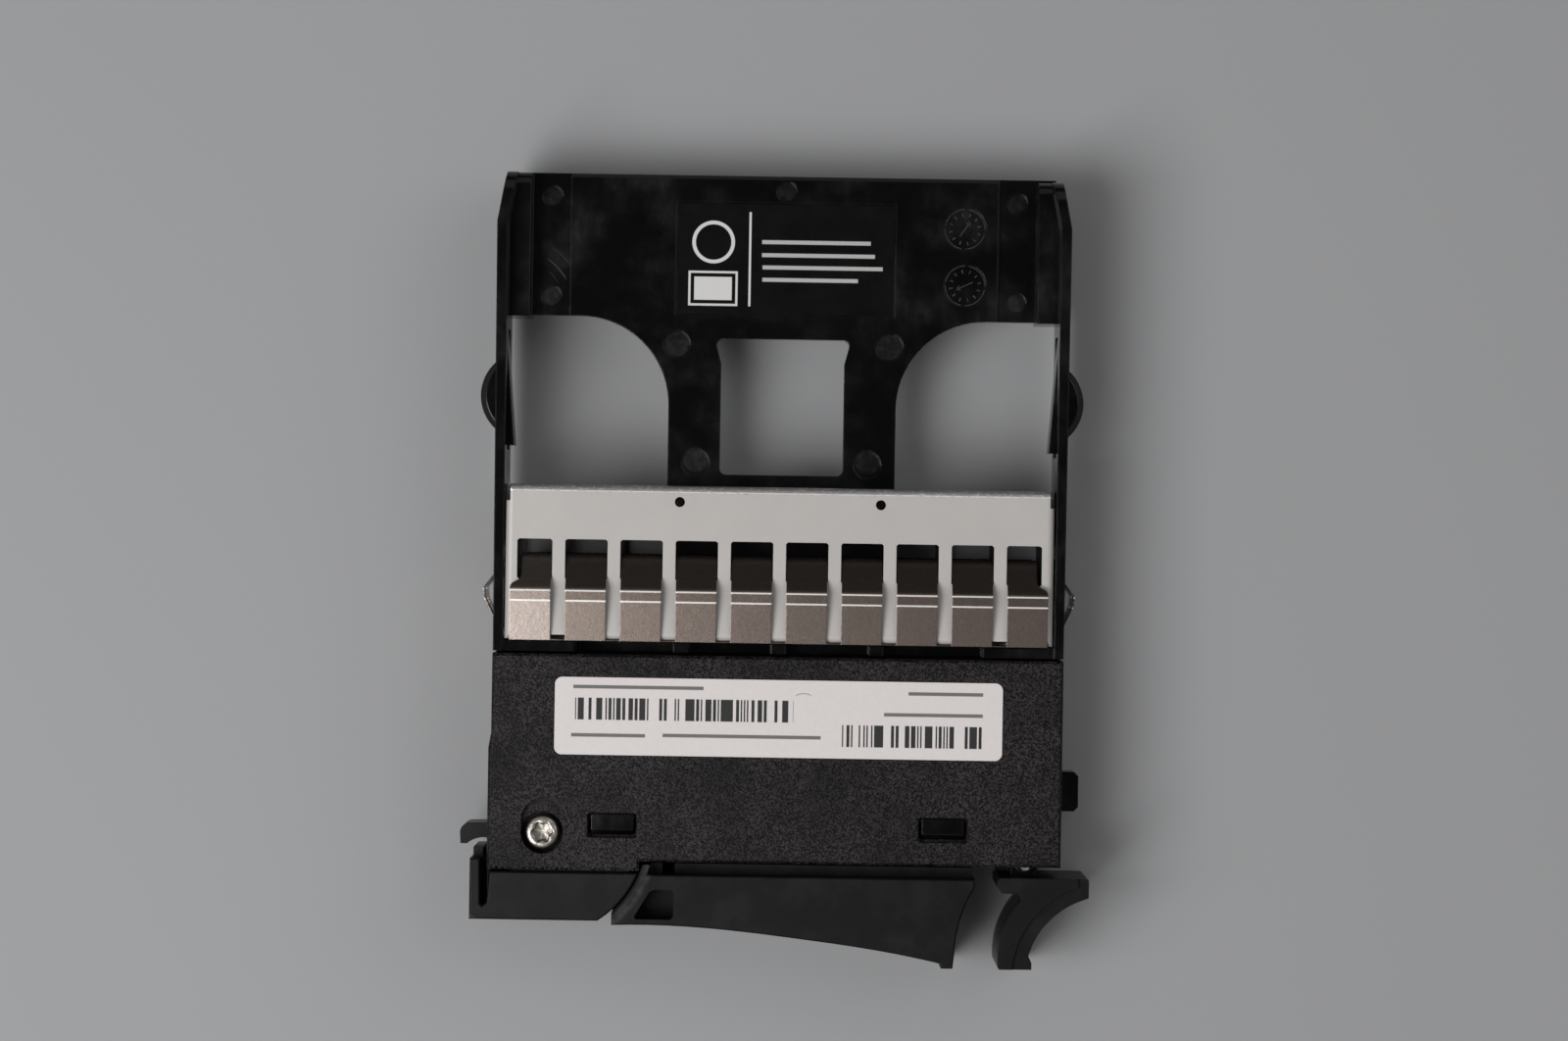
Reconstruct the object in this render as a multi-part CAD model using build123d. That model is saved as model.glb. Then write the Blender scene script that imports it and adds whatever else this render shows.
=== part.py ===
from build123d import *
import os
from math import cos, hypot, radians, sin, sqrt

# Drive bay blank filler: the carrier of a 2.5-inch drive for a 2U enclosure, with no drive in it.
# It lies on its side. X runs across the carrier from the pivot end to the latch end, +Y is the
# direction in which it goes into its bay, and Z is the narrow way, across the bay pitch.
# Millimetres. While it is built, y = 0 is the nominal front plane of the housing and z = 0 is the
# middle plane. The finished pieces are moved so that the origin is under the middle of the part.

# ---------------------------------------------------------------- fits shared by all pieces
MOULD_GAP = 0.3              # between moulded pieces that move past each other
NEST_GAP = 0.15              # between pieces that nest and don't move
RUNNING_CLEARANCE = 0.05     # round a pin or a sleeve
EDGE_BREAK = 0.35            # bevel on the housing's outer edges
FACE_BREAK = 0.2             # bevel on the faces of the cap and the grip
OVERLAP = 0.5                # how far a boss or rib runs into the wall that carries it
PAST = 1.0                   # how far a cutter runs past the surface that it opens

# ---------------------------------------------------------------- housing
# a tray that belongs to the carrier moulding, and a textured cover over it
HOUSING_HALF_WIDTH = 39.05
HOUSING_HALF_THICK = 8.3
HOUSING_DEPTH = 28.9
HOUSING_SKIN = 1.6
HOUSING_WALL = 1.4
COVER_FRONT = 0.7            # front edge of the housing beside the handle
CAP_SEAT_FRONT = -0.6        # front edge of the housing behind the end cap
CLAW_FLARE = 0.35            # the side wall stands this much wider round the claw's slot
CLAW_SLOT_Y = (0.9, 15.3)
CLAW_FLARE_END = 16.0
CLAW_FLARE_RAMP = 2.0
LUG_REACH = 2.85
LUG_Y = (7.9, 13.4)
LUG_Z = (2.2 - HOUSING_HALF_THICK, -1.2)
LUG_CORNER = 0.6
SNAP_CENTRES = (16.75 - HOUSING_HALF_WIDTH, HOUSING_HALF_WIDTH - 16.15)
SNAP_WIDTH = 6.8
SNAP_Y = (3.9, 7.3)
SNAP_LEDGE = HOUSING_HALF_THICK - 1.2
SNAP_CORNER = 0.25
SNAP_HOOK_THICK = 1.2
SNAP_HEAD_HEIGHT = 0.7

# ---------------------------------------------------------------- handle pivot
PIVOT = (7.15 - HOUSING_HALF_WIDTH, 4.46)
SCREW_HEAD_RADIUS = 2.4
SCREW_HEAD_HEIGHT = 1.8
SCREW_HEAD_RECESS = 0.7
SCREW_RADIUS = 1.5
SCREW_HOLE_RADIUS = SCREW_RADIUS + 0.1
SOCKET_LOBE = 1.42
SOCKET_WAIST = 1.05
SOCKET_DEPTH = 1.1
COUNTERBORE_RADIUS = 2.88
COUNTERBORE_WALL = 1.2
CRESCENT_SHIFT = 1.76
CRESCENT_DEPTH = 1.1
SLEEVE_RADIUS = 2.5
INSERT_RADIUS = 2.5          # over the corners of its six-sided body
INSERT_FOOT = 0.8 - HOUSING_HALF_THICK
INSERT_POST_WALL = 1.1
HUB_RADIUS = 4.6
HUB_FOOT_RADIUS = 3.4
HUB_HALF_HEIGHT = 3.6
ARM_HALF_THICK = 1.6
ARM_REAR_ANGLE = -16.0
ARM_FRONT_ANGLE = -47.0
CLAW_REACH = HOUSING_HALF_WIDTH + 4.35

# ---------------------------------------------------------------- bezel end cap
CAP_LEFT = -HOUSING_HALF_WIDTH - 2.65
CAP_FRONT = -7.5
CAP_REAR = -0.95
CAP_ARC_RADIUS = 14.25
CAP_WALL = 1.4
CAP_LIP_X = (PIVOT[0] - 4.4, PIVOT[0] + CAP_ARC_RADIUS - 2.25)
CAP_LIP_Z = (5.35, HOUSING_HALF_THICK - HOUSING_SKIN)
FACE_HALF_THICK = 8.1        # half thickness of cap, grip and latch
TAB_WIDTH = 1.35
TAB_TOP = 0.8
TAB_FINGER_Z = (-6.0, 5.2)
SLIT_WIDTH = 1.35
SLIT_FOOT = -5.7
ARM_SLOT_X = (0.75 - HOUSING_HALF_WIDTH, PIVOT[0] + CAP_ARC_RADIUS + 1.35)

# ---------------------------------------------------------------- squeeze latch
LATCH_PIN = (HOUSING_HALF_WIDTH - 4.75, 0.9)
LATCH_PIN_RADIUS = 0.75
LATCH_PIN_FOOT = 0.9 - HOUSING_HALF_THICK
LATCH_PIN_TOP = 6.0
LATCH_POST_RADIUS = LATCH_PIN_RADIUS + 0.65
LATCH_HUB_RADIUS = 2.0
LATCH_HALF_HEIGHT = 2.6
LATCH_STEM = 1.8             # half width of the stem between hub and tab
LATCH_LEFT = LATCH_PIN[0] - 3.8
LATCH_RIGHT = HOUSING_HALF_WIDTH + 3.95
LATCH_REAR = -0.8
LATCH_BAR = 2.1
LATCH_TIP = -13.3
REST_CENTRE = (LATCH_RIGHT + 2.9, -14.6)
REST_RADIUS = 11.5
REST_TOP = -3.9
REST_FOOT = -11.4
REST_RIM = 1.85
REST_RIM_STEP = 0.35
END_RIM = 1.45
INNER_CENTRE = (LATCH_RIGHT - 0.35, -11.95)
INNER_RADIUS = 12.05
LATCH_LUG_X = (LATCH_PIN[0] - 2.7, LATCH_PIN[0] - 2.05)
LATCH_LUG_Y = (LATCH_PIN[1] + 2.6, LATCH_PIN[1] + 3.4)
LATCH_RIB_X = (LATCH_PIN[0] + 1.45, LATCH_PIN[0] + 2.4)
LATCH_RIB_Y = (LATCH_PIN[1] + 2.7, LATCH_PIN[1] + 4.3)
LATCH_NOSE_CLEARANCE = 0.6

# ---------------------------------------------------------------- handle grip
NOSE_RADIUS = CAP_ARC_RADIUS + 0.2
NOSE_BAND = 1.05             # width of the bevelled band round the nose
NOSE_DROP = 0.5
NOSE_REAR = 0.25
NOSE_MID_ANGLE = -33.0
GRIP_LEFT = PIVOT[0] + CAP_ARC_RADIUS - 4.6
GRIP_RIGHT = LATCH_LEFT - 3.1
GRIP_REAR = -1.1
GRIP_END_REAR = -2.1
GRIP_END_MIDDLE = (GRIP_RIGHT - 2.0, -6.8)
GRIP_END_FRONT = -11.5
GRIP_FRONT_LEFT = -8.05
GRIP_FRONT_RIGHT = -12.6
GRIP_FRONT_CURVE = ((0.31, -8.35), (0.58, -9.6), (0.8, -10.9))       # share of its length, y
GRIP_TIP = GRIP_RIGHT - 2.9
GRIP_LIP = 0.7
GRIP_LIP_WIDTH = 1.9
FLANGE_REAR = 0.35
FLANGE_TOP = 5.0
FLANGE_NOTCH_X = (PIVOT[0] + CAP_ARC_RADIUS + 2.25, PIVOT[0] + CAP_ARC_RADIUS + 3.95)
FLANGE_NOTCH_FOOT = -0.5
POCKET_REAR = -3.15
POCKET_FRONT = -7.2
POCKET_REAR_X = (PIVOT[0] + CAP_ARC_RADIUS + 0.75, PIVOT[0] + CAP_ARC_RADIUS + 4.0)
POCKET_FRONT_X = (PIVOT[0] + CAP_ARC_RADIUS - 1.7, PIVOT[0] + CAP_ARC_RADIUS + 3.85)
POCKET_DEPTH = 5.0
POCKET_CORNER = 0.4
TAIL_HALF_THICK = 2.2
TAIL_ROOT_X = (GRIP_RIGHT - 3.3, GRIP_RIGHT - 0.4)
TAIL_ROOT_Y = (1.6, 2.8)
TAIL_LIMB_X = (GRIP_RIGHT - 0.1, GRIP_RIGHT + 1.1)
TAIL_LIP_X = GRIP_RIGHT + 1.9
TAIL_LIP_Y = (6.6, 7.6)

# ---------------------------------------------------------------- springs
COIL_PITCH = 1.2             # in wire thicknesses
HANDLE_WIRE = 0.4
HANDLE_SPRING_RADIUS = 2.95
HANDLE_SPRING_Z = ARM_HALF_THICK + 0.35
HANDLE_SPRING_START = 92.0
HANDLE_SPRING_TURNS = 3 - HANDLE_SPRING_START / 360
HANDLE_SPRING_LEGS = (4.2, 6.0)
HANDLE_RIB_X = (PIVOT[0] + 1.5, PIVOT[0] + 2.55)
HANDLE_RIB_Y = (PIVOT[1] + 4.4, PIVOT[1] + 6.4)
HANDLE_STOP_ANGLES = (10.0, 36.0)
HANDLE_STOP_HEIGHT = 1.0
LATCH_WIRE = 0.35
LATCH_SPRING_RADIUS = 1.15
LATCH_SPRING_Z = LATCH_HALF_HEIGHT + 0.35
LATCH_SPRING_START = 180.0
LATCH_SPRING_TURNS = 1.5
LATCH_SPRING_LEGS = (4.1, 4.4)
LATCH_RECESS_TOP = LATCH_SPRING_Z + 1.5

# ---------------------------------------------------------------- shielding box and its fingers
BAR_DEPTH = 1.4
BAR_FRONT = HOUSING_DEPTH + MOULD_GAP
BAR_REAR = BAR_FRONT + BAR_DEPTH
SHEET = 0.3
SHIELD_HALF_WIDTH = HOUSING_HALF_WIDTH - 1.55
SHIELD_HALF_THICK = 7.8
SHIELD_FRONT = BAR_REAR + 0.3
SHIELD_LENGTH = 21.2
SHIELD_REAR = SHIELD_FRONT + SHIELD_LENGTH
SHIELD_BEND = 0.9
SHIELD_WINDOW_Y = (SHIELD_FRONT + 8.2, SHIELD_FRONT + 13.7)
SHIELD_WINDOW_GAP = 0.12
SHIELD_WINDOW_CORNER = 0.25
SHIELD_END_WINDOW = 1.0      # the outer windows are narrower by this
SHIELD_NOTCH = (1.0, 0.6)
SHIELD_CORNER_SLIT = (0.55, 2.3)
FINGER_COUNT = 10
FINGER_WIDTH = 5.55
FINGER_SHEET = 0.16
FINGER_MARGIN = 0.75
FINGER_RISE = 1.4
FINGER_CREST = (SHIELD_FRONT + 5.45, SHIELD_FRONT + 6.85)
FINGER_CREST_BEND = 0.4
FINGER_TIP = SHIELD_FRONT + 11.7
FINGER_DIVE = 1.9
FINGER_ROOT = 0.2
FINGER_WEB = 2.0
FINGER_PITCH = (2 * (SHIELD_HALF_WIDTH - FINGER_MARGIN) - FINGER_WIDTH) / (FINGER_COUNT - 1)
END_TIP_CUT = 1.5
END_TIP_CURVE = (0.1, 2.0)
SIDE_RISE = 3.15
SIDE_DIVE = 0.7
SIDE_FINGER_WIDTH = 4.4
SIDE_FINGER_PITCH = 6.0
SIDE_FINGERS_REACH = (SIDE_FINGER_PITCH + SIDE_FINGER_WIDTH) / 2
PEG_RADIUS = 0.5
PEG_HOLE_RADIUS = 0.68
PEG_PLACES = ((-13.75, SHIELD_REAR - 2.2), (13.75, SHIELD_REAR - 2.2))

# ---------------------------------------------------------------- carrier: rails, web, legs, plate
CARRIER_LENGTH = 95.1
RAIL_LENGTH = CARRIER_LENGTH - 0.55
LEFT_RAIL_EXTRA = 0.4
RAIL_WALL = 1.45
RAIL_INNER = HOUSING_HALF_WIDTH - RAIL_WALL + 0.15
RAIL_TOP = 7.4
RAIL_BOTTOM = -6.4
RAIL_SPREAD = 0.3            # the rails stand this much wider at the rear
RAIL_LEAD = 7.1
RAIL_LEAD_IN = 1.25
RAIL_END_RADIUS = 2.6
RAIL_OUTER = HOUSING_HALF_WIDTH + RAIL_SPREAD
CORE_HALF_THICK = 1.4
CORE_REAR_BEVEL = 0.5
PLATE_HALF_THICK = 0.9
PLATE_LENGTH = 19.65
PLATE_FRONT = CARRIER_LENGTH - PLATE_LENGTH
CENTRE_HALF_WIDTH = HOUSING_HALF_WIDTH - 9.55
LEDGE_INNER = HOUSING_HALF_WIDTH - 4.2
LEDGE_TOP = 4.9
LEDGE_END_RADIUS = 1.6
LEG_OUTER = 15.7
LEG_SWEEP = 12.3
WINDOW_HALF_WIDTH = 8.5
WINDOW_FLARE = 0.9
WINDOW_FLARE_LENGTH = 3.4
WINDOW_CORNER = 0.9
WINDOW_REAR = PLATE_FRONT - 2.85
CROSSBAR_FRONT = SHIELD_REAR + 0.4
CROSSBAR_DEPTH = 1.3
BAR_HALF_GAP = HOUSING_HALF_WIDTH - 11.05
BAR_POSTS = (-13.4, 0, 13.4)
TONGUE_ROOT = PLATE_FRONT - 1.95
TONGUE_TIP = TONGUE_ROOT - 16.1
TONGUE_LEAN = 1.25
TONGUE_THICK = 1.1
TONGUE_HALF_HEIGHT = 2.6
TONGUE_SLOT = 0.6
BUMP_CENTRE = TONGUE_TIP + 6.85
BUMP_HALF_CHORD = 5.25
BUMP_REACH = RAIL_OUTER + 2.25
BUMP_EDGE = 0.8
MARK_DEPTH = 0.15
MARK_SIDES = 16
SMALL_MARK_RADIUS = 1.4
LARGE_MARK_RADIUS = 1.9
SIDE_MARK_X = LEDGE_INNER - 2.75
SIDE_MARK_Y = (CARRIER_LENGTH - 17.0, CARRIER_LENGTH - 3.2)
MIDDLE_MARK = (0.2, CARRIER_LENGTH - 2.1)
LEG_MARKS = ((14.7, PLATE_FRONT - 3.75), (11.85, CROSSBAR_FRONT + 2.9))
DATE_INSERT_RADIUS = 2.9
DATE_INSERT_DEPTH = 0.2
DATE_INSERTS = ((CENTRE_HALF_WIDTH - 4.6, CARRIER_LENGTH - 6.9),
                (CENTRE_HALF_WIDTH - 4.5, CARRIER_LENGTH - 14.7))

# ---------------------------------------------------------------- labels
LABEL_THICK = 0.12
LABEL_RECESS = 0.2
LABEL_MARGIN = 0.25
FRONT_LABEL = (61.2, 10.6, 0.2, 20.5)                       # width, depth, centre x, centre y
FRONT_LABEL_CORNER = 1.0
REAR_LABEL = (29.8, 15.2, 0.2, CARRIER_LENGTH - 11.5)

# ---------------------------------------------------------------- levels worked out from these
HEAD_TOP = HOUSING_HALF_THICK - SCREW_HEAD_RECESS
HEAD_SEAT = HEAD_TOP - SCREW_HEAD_HEIGHT
BOSS_FOOT = HUB_HALF_HEIGHT + NEST_GAP
POST_TOP = -BOSS_FOOT
TRAY_FLOOR = HOUSING_SKIN - HOUSING_HALF_THICK
ARM_SLOT_HALF = ARM_HALF_THICK + MOULD_GAP
CLAW_SLOT_HALF = HUB_HALF_HEIGHT + MOULD_GAP
LATCH_SLOT_HALF = LATCH_HALF_HEIGHT + MOULD_GAP
LATCH_SLOT_X = (GRIP_RIGHT - 4.2, HOUSING_HALF_WIDTH - HOUSING_WALL)
CAP_LIP_REACH = CAP_SEAT_FRONT + HOUSING_WALL - 0.1


# ---------------------------------------------------------------- small building blocks
def block(x0, x1, y0, y1, z0, z1):
    """Box between two corners."""
    box = Box(x1 - x0, y1 - y0, z1 - z0)
    return Pos((x0 + x1) / 2, (y0 + y1) / 2, (z0 + z1) / 2) * box


def rod(centre, radius, z0, z1):
    """Upright cylinder about a point of the plan."""
    return Pos(centre[0], centre[1], (z0 + z1) / 2) * Cylinder(radius, z1 - z0)


def slab(face, z0, z1):
    """A face drawn in plan, raised from z0 to z1."""
    return Pos(0, 0, z0) * extrude(face, z1 - z0, dir=(0, 0, 1))


def prism(centre, radius, sides, z0, z1):
    """Upright prism with equal sides about a point of the plan."""
    return slab(Pos(*centre) * RegularPolygon(radius, sides), z0, z1)


def plan(*points):
    """Closed face through straight-edged plan points."""
    return make_face(Polyline(*points, close=True))


def about(centre, radius, angle):
    """Point at a radius and angle from a centre."""
    return (centre[0] + radius * cos(radians(angle)), centre[1] + radius * sin(radians(angle)))


def on_circle(centre, radius, y, side=1):
    """Point of a circle at a height y of the plan, on its right or on its left."""
    return (centre[0] + side * sqrt(radius ** 2 - (y - centre[1]) ** 2), y)


def mirror_x(shape):
    return mirror(shape, about=Plane.YZ)


def mirror_z(shape):
    return mirror(shape, about=Plane.XY)


def one(shape):
    """The single solid of a result."""
    solids = shape.solids()
    return solids[0] if len(solids) == 1 else shape


def flush_boss(z0, z1):
    """Boss for the latch pin, cut off level with the front edge of the housing."""
    x, y = LATCH_PIN
    keep = block(x - LATCH_POST_RADIUS, x + LATCH_POST_RADIUS, COVER_FRONT, y + LATCH_POST_RADIUS, z0, z1)
    return rod(LATCH_PIN, LATCH_POST_RADIUS, z0, z1) & keep


def bevel_faces(solid):
    """Small bevel round the upper and the lower face."""
    solid = chamfer(solid.faces().sort_by(Axis.Z)[-1].edges(), FACE_BREAK)
    return chamfer(solid.faces().sort_by(Axis.Z)[0].edges(), FACE_BREAK)


def torsion_spring(centre, radius, wire, z0, start_angle, turns, legs):
    """Thin wire, drawn four-sided: a leg, turns wound upwards about an upright axis, a second leg."""
    pitch = wire * COIL_PITCH
    winding = Pos(centre[0], centre[1], z0) * Rot(0, 0, start_angle) * Helix(pitch, pitch * turns, radius)
    first = Line(winding @ 0 - (winding % 0) * legs[0], winding @ 0)
    last = Line(winding @ 1, winding @ 1 + (winding % 1) * legs[1])
    path = Wire([first, winding, last])
    section = Plane(origin=path @ 0, z_dir=path % 0) * RegularPolygon(wire / 2, 4)
    return sweep(section, path=path, is_frenet=True)


# ---------------------------------------------------------------- openings of both housing halves
def front_openings():
    """Slots that the lever's arm, its claw, the latch and the cap's lips pass through."""
    front, rear = CAP_SEAT_FRONT - PAST, COVER_FRONT + HOUSING_WALL + 0.1
    arm_slot = block(*ARM_SLOT_X, front, rear, -ARM_SLOT_HALF, ARM_SLOT_HALF)
    latch_slot = block(*LATCH_SLOT_X, front, rear, -LATCH_SLOT_HALF, LATCH_SLOT_HALF)
    claw_slot = block(-HOUSING_HALF_WIDTH - PAST, -HOUSING_HALF_WIDTH + HOUSING_WALL + 0.1,
                      *CLAW_SLOT_Y, -CLAW_SLOT_HALF, CLAW_SLOT_HALF)
    lip_slot = block(CAP_LIP_X[0] - NEST_GAP, CAP_LIP_X[1] + NEST_GAP, front,
                     COVER_FRONT + HOUSING_WALL, CAP_LIP_Z[0] - 0.1, CAP_LIP_Z[1])
    return arm_slot + latch_slot + claw_slot + lip_slot + mirror_z(lip_slot)


def housing_plan(inset=0.0):
    """Outline of the housing: its front edge steps forward behind the end cap."""
    step_x = on_circle(PIVOT, CAP_ARC_RADIUS, CAP_SEAT_FRONT)[0] - inset
    side = HOUSING_HALF_WIDTH - inset
    flare = side + CLAW_FLARE
    rear = HOUSING_DEPTH - inset
    return plan((-side, CLAW_FLARE_END + CLAW_FLARE_RAMP), (-flare, CLAW_FLARE_END),
                (-flare, CAP_SEAT_FRONT + inset), (step_x, CAP_SEAT_FRONT + inset),
                (step_x, COVER_FRONT + inset), (side, COVER_FRONT + inset),
                (side, rear), (-side, rear))


# ---------------------------------------------------------------- carrier frame
def tray():
    """Lower half of the housing, open at the top."""
    shell = slab(housing_plan(), -HOUSING_HALF_THICK, 0)
    shell -= slab(housing_plan(HOUSING_WALL), TRAY_FLOOR, PAST)
    shell = chamfer(shell.faces().sort_by(Axis.Z)[0].edges(), EDGE_BREAK)
    join = block(-HOUSING_HALF_WIDTH, HOUSING_HALF_WIDTH, HOUSING_DEPTH - HOUSING_WALL, BAR_FRONT,
                 -HOUSING_HALF_THICK + EDGE_BREAK, -EDGE_BREAK)
    return shell + join - front_openings()


def snap_post(centre):
    """Hook that stands up from the tray and catches in the cover's window."""
    x0, x1 = centre - SNAP_WIDTH / 2 + OVERLAP, centre + SNAP_WIDTH / 2 - OVERLAP
    foot_y = SNAP_Y[0] + 1.0
    post = block(x0, x1, foot_y, foot_y + SNAP_HOOK_THICK, TRAY_FLOOR, SNAP_LEDGE + 0.5)
    low = SNAP_LEDGE + 0.05
    top = low + SNAP_HEAD_HEIGHT
    nose = Plane.YZ * plan((SNAP_Y[0] + 0.4, low), (SNAP_Y[1] - 0.2, low), (SNAP_Y[1] - 0.2, top),
                           (SNAP_Y[0] + 1.1, top), (SNAP_Y[0] + 0.4, top - 0.45))
    return post + Pos(x0, 0, 0) * extrude(nose, x1 - x0, dir=(1, 0, 0))


def rear_bar():
    """Back wall of the housing. It drops between the rails to the height of the web."""
    wall = block(-HOUSING_HALF_WIDTH, HOUSING_HALF_WIDTH, BAR_FRONT, BAR_REAR,
                 -SHIELD_HALF_THICK + 0.4, SHIELD_HALF_THICK - 0.6)
    wall -= block(-BAR_HALF_GAP, BAR_HALF_GAP, BAR_FRONT - PAST, BAR_REAR + PAST,
                  CORE_HALF_THICK + 0.6, HOUSING_HALF_THICK)
    for x in BAR_POSTS:
        wall += block(x - 1, x + 1, BAR_FRONT, BAR_REAR, 0, SHIELD_HALF_THICK - 1.6)
    return wall


def rail(side):
    """Side rail with its lead-in, its window for the contact fingers and the tongue's window."""
    length = RAIL_LENGTH + (LEFT_RAIL_EXTRA if side < 0 else 0)
    inner_rear = RAIL_OUTER - RAIL_WALL
    wall = plan((RAIL_INNER, BAR_FRONT), (HOUSING_HALF_WIDTH, BAR_FRONT),
                (RAIL_OUTER, CARRIER_LENGTH - RAIL_LEAD), (RAIL_OUTER - RAIL_LEAD_IN, length),
                (inner_rear - RAIL_LEAD_IN, length), (inner_rear, CARRIER_LENGTH - RAIL_LEAD))
    solid = slab(wall, RAIL_BOTTOM, RAIL_TOP)
    rear_corners = solid.edges().filter_by(Axis.X).group_by(Axis.Y)[-1]
    solid = fillet(rear_corners, RAIL_END_RADIUS)
    finger_half = SIDE_FINGERS_REACH + 0.4
    solid -= block(RAIL_INNER - PAST, RAIL_OUTER + PAST, SHIELD_FRONT - 0.2, FINGER_TIP + 0.3,
                   -finger_half, finger_half)
    tongue_half = TONGUE_HALF_HEIGHT + TONGUE_SLOT
    solid -= block(RAIL_INNER - PAST, RAIL_OUTER + PAST, TONGUE_TIP - TONGUE_SLOT, TONGUE_ROOT,
                   -tongue_half, tongue_half)
    return solid if side > 0 else mirror_x(solid)


def tongue(side):
    """Sprung tongue of a rail. It leans inwards and carries a crowned guide bump."""
    root_x = RAIL_OUTER - 0.15
    tip_x = root_x - TONGUE_LEAN
    limb = plan((root_x, TONGUE_ROOT + 0.2), (root_x - TONGUE_THICK, TONGUE_ROOT + 0.2),
                (tip_x - TONGUE_THICK, TONGUE_TIP), (tip_x, TONGUE_TIP))
    sagitta = BUMP_REACH - root_x + OVERLAP
    radius = (BUMP_HALF_CHORD ** 2 + sagitta ** 2) / (2 * sagitta)
    disc = rod((BUMP_REACH - radius, BUMP_CENTRE), radius, -TONGUE_HALF_HEIGHT, TONGUE_HALF_HEIGHT)
    disc = chamfer(disc.edges().filter_by(GeomType.CIRCLE), BUMP_EDGE)
    middle_x = (root_x + tip_x - TONGUE_THICK) / 2
    bump = disc & block(middle_x, BUMP_REACH + PAST, BUMP_CENTRE - radius, BUMP_CENTRE + radius,
                        -TONGUE_HALF_HEIGHT, TONGUE_HALF_HEIGHT)
    solid = slab(limb, -TONGUE_HALF_HEIGHT, TONGUE_HALF_HEIGHT) + bump
    return solid if side > 0 else mirror_x(solid)


def leg_plan():
    """Outer outline of the web, the two swept legs and the raised centre of the rear plate."""
    centre = (LEG_OUTER + LEG_SWEEP, PLATE_FRONT - LEG_SWEEP)
    middle = about(centre, LEG_SWEEP, 135)
    side = CENTRE_HALF_WIDTH
    right = Line((LEG_OUTER, BAR_FRONT), (LEG_OUTER, centre[1]))
    right_sweep = ThreePointArc((LEG_OUTER, centre[1]), middle, (centre[0], PLATE_FRONT))
    rear = Polyline((centre[0], PLATE_FRONT), (side, PLATE_FRONT), (side, CARRIER_LENGTH),
                    (-side, CARRIER_LENGTH), (-side, PLATE_FRONT), (-centre[0], PLATE_FRONT))
    left_sweep = ThreePointArc((-centre[0], PLATE_FRONT), (-middle[0], middle[1]), (-LEG_OUTER, centre[1]))
    left = Polyline((-LEG_OUTER, centre[1]), (-LEG_OUTER, BAR_FRONT), (LEG_OUTER, BAR_FRONT))
    return make_face(right + right_sweep + rear + left_sweep + left)


def leg_window():
    """Hand-sized gap between the legs, flared where it meets the plate."""
    front = CROSSBAR_FRONT + CROSSBAR_DEPTH
    flare_y = WINDOW_REAR - WINDOW_FLARE_LENGTH
    narrow = WINDOW_HALF_WIDTH
    wide = WINDOW_HALF_WIDTH + WINDOW_FLARE
    face = plan((-narrow, front), (narrow, front), (narrow, flare_y), (wide, WINDOW_REAR),
                (-wide, WINDOW_REAR), (-narrow, flare_y))
    return fillet(face.vertices(), WINDOW_CORNER)


def core():
    """Web through the shielding box, legs and raised centre of the plate."""
    solid = slab(leg_plan(), -CORE_HALF_THICK, CORE_HALF_THICK)
    solid -= slab(leg_window(), -CORE_HALF_THICK - PAST, CORE_HALF_THICK + PAST)
    rear = solid.faces().sort_by(Axis.Y)[-1]
    return chamfer(rear.edges().filter_by(Axis.X), CORE_REAR_BEVEL)


def plate_sides():
    """Lower side zones of the rear plate and the ledges beside the rails."""
    reach = RAIL_OUTER - RAIL_WALL / 2
    narrow = reach - RAIL_LEAD_IN
    lead = CARRIER_LENGTH - RAIL_LEAD
    outline = plan((-reach, PLATE_FRONT), (reach, PLATE_FRONT), (reach, lead), (narrow, CARRIER_LENGTH),
                   (-narrow, CARRIER_LENGTH), (-reach, lead))
    zone = slab(outline, -PLATE_HALF_THICK, PLATE_HALF_THICK)
    for side in (-1, 1):
        length = RAIL_LENGTH + (LEFT_RAIL_EXTRA if side < 0 else 0)
        front = PLATE_FRONT - 0.3
        ledge = slab(plan((LEDGE_INNER, front), (reach, front), (reach, lead), (narrow, length),
                          (LEDGE_INNER, length)), -LEDGE_TOP, LEDGE_TOP)
        ledge = fillet(ledge.edges().filter_by(Axis.X).group_by(Axis.Y)[-1], LEDGE_END_RADIUS)
        zone += ledge if side > 0 else mirror_x(ledge)
    return zone


def ejector_marks():
    """Shallow seats that the mould's ejector pins left, drawn sixteen-sided."""
    core_foot = CORE_HALF_THICK - MARK_DEPTH
    marks = [prism(MIDDLE_MARK, SMALL_MARK_RADIUS, MARK_SIDES, core_foot, HOUSING_HALF_THICK)]
    for side in (-1, 1):
        for y in SIDE_MARK_Y:
            marks.append(prism((side * SIDE_MARK_X, y), SMALL_MARK_RADIUS, MARK_SIDES,
                               PLATE_HALF_THICK - MARK_DEPTH, CORE_HALF_THICK))
        for x, y in LEG_MARKS:
            marks.append(prism((side * x, y), LARGE_MARK_RADIUS, MARK_SIDES,
                               CORE_HALF_THICK - MARK_DEPTH, HOUSING_HALF_THICK))
    return marks


def label_seat():
    """Shallow seat of the label on the rear plate."""
    width, depth, x, y = REAR_LABEL
    seat = Pos(x, y) * Rectangle(width + 2 * LABEL_MARGIN, depth + 2 * LABEL_MARGIN)
    return slab(seat, CORE_HALF_THICK - LABEL_RECESS, CORE_HALF_THICK + PAST)


def pegs():
    """Eight-sided pegs on the web that line up both halves of the shielding box."""
    top = SHIELD_HALF_THICK - SHEET - MOULD_GAP
    return [prism(place, PEG_RADIUS, 8, -top, top) for place in PEG_PLACES]


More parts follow.
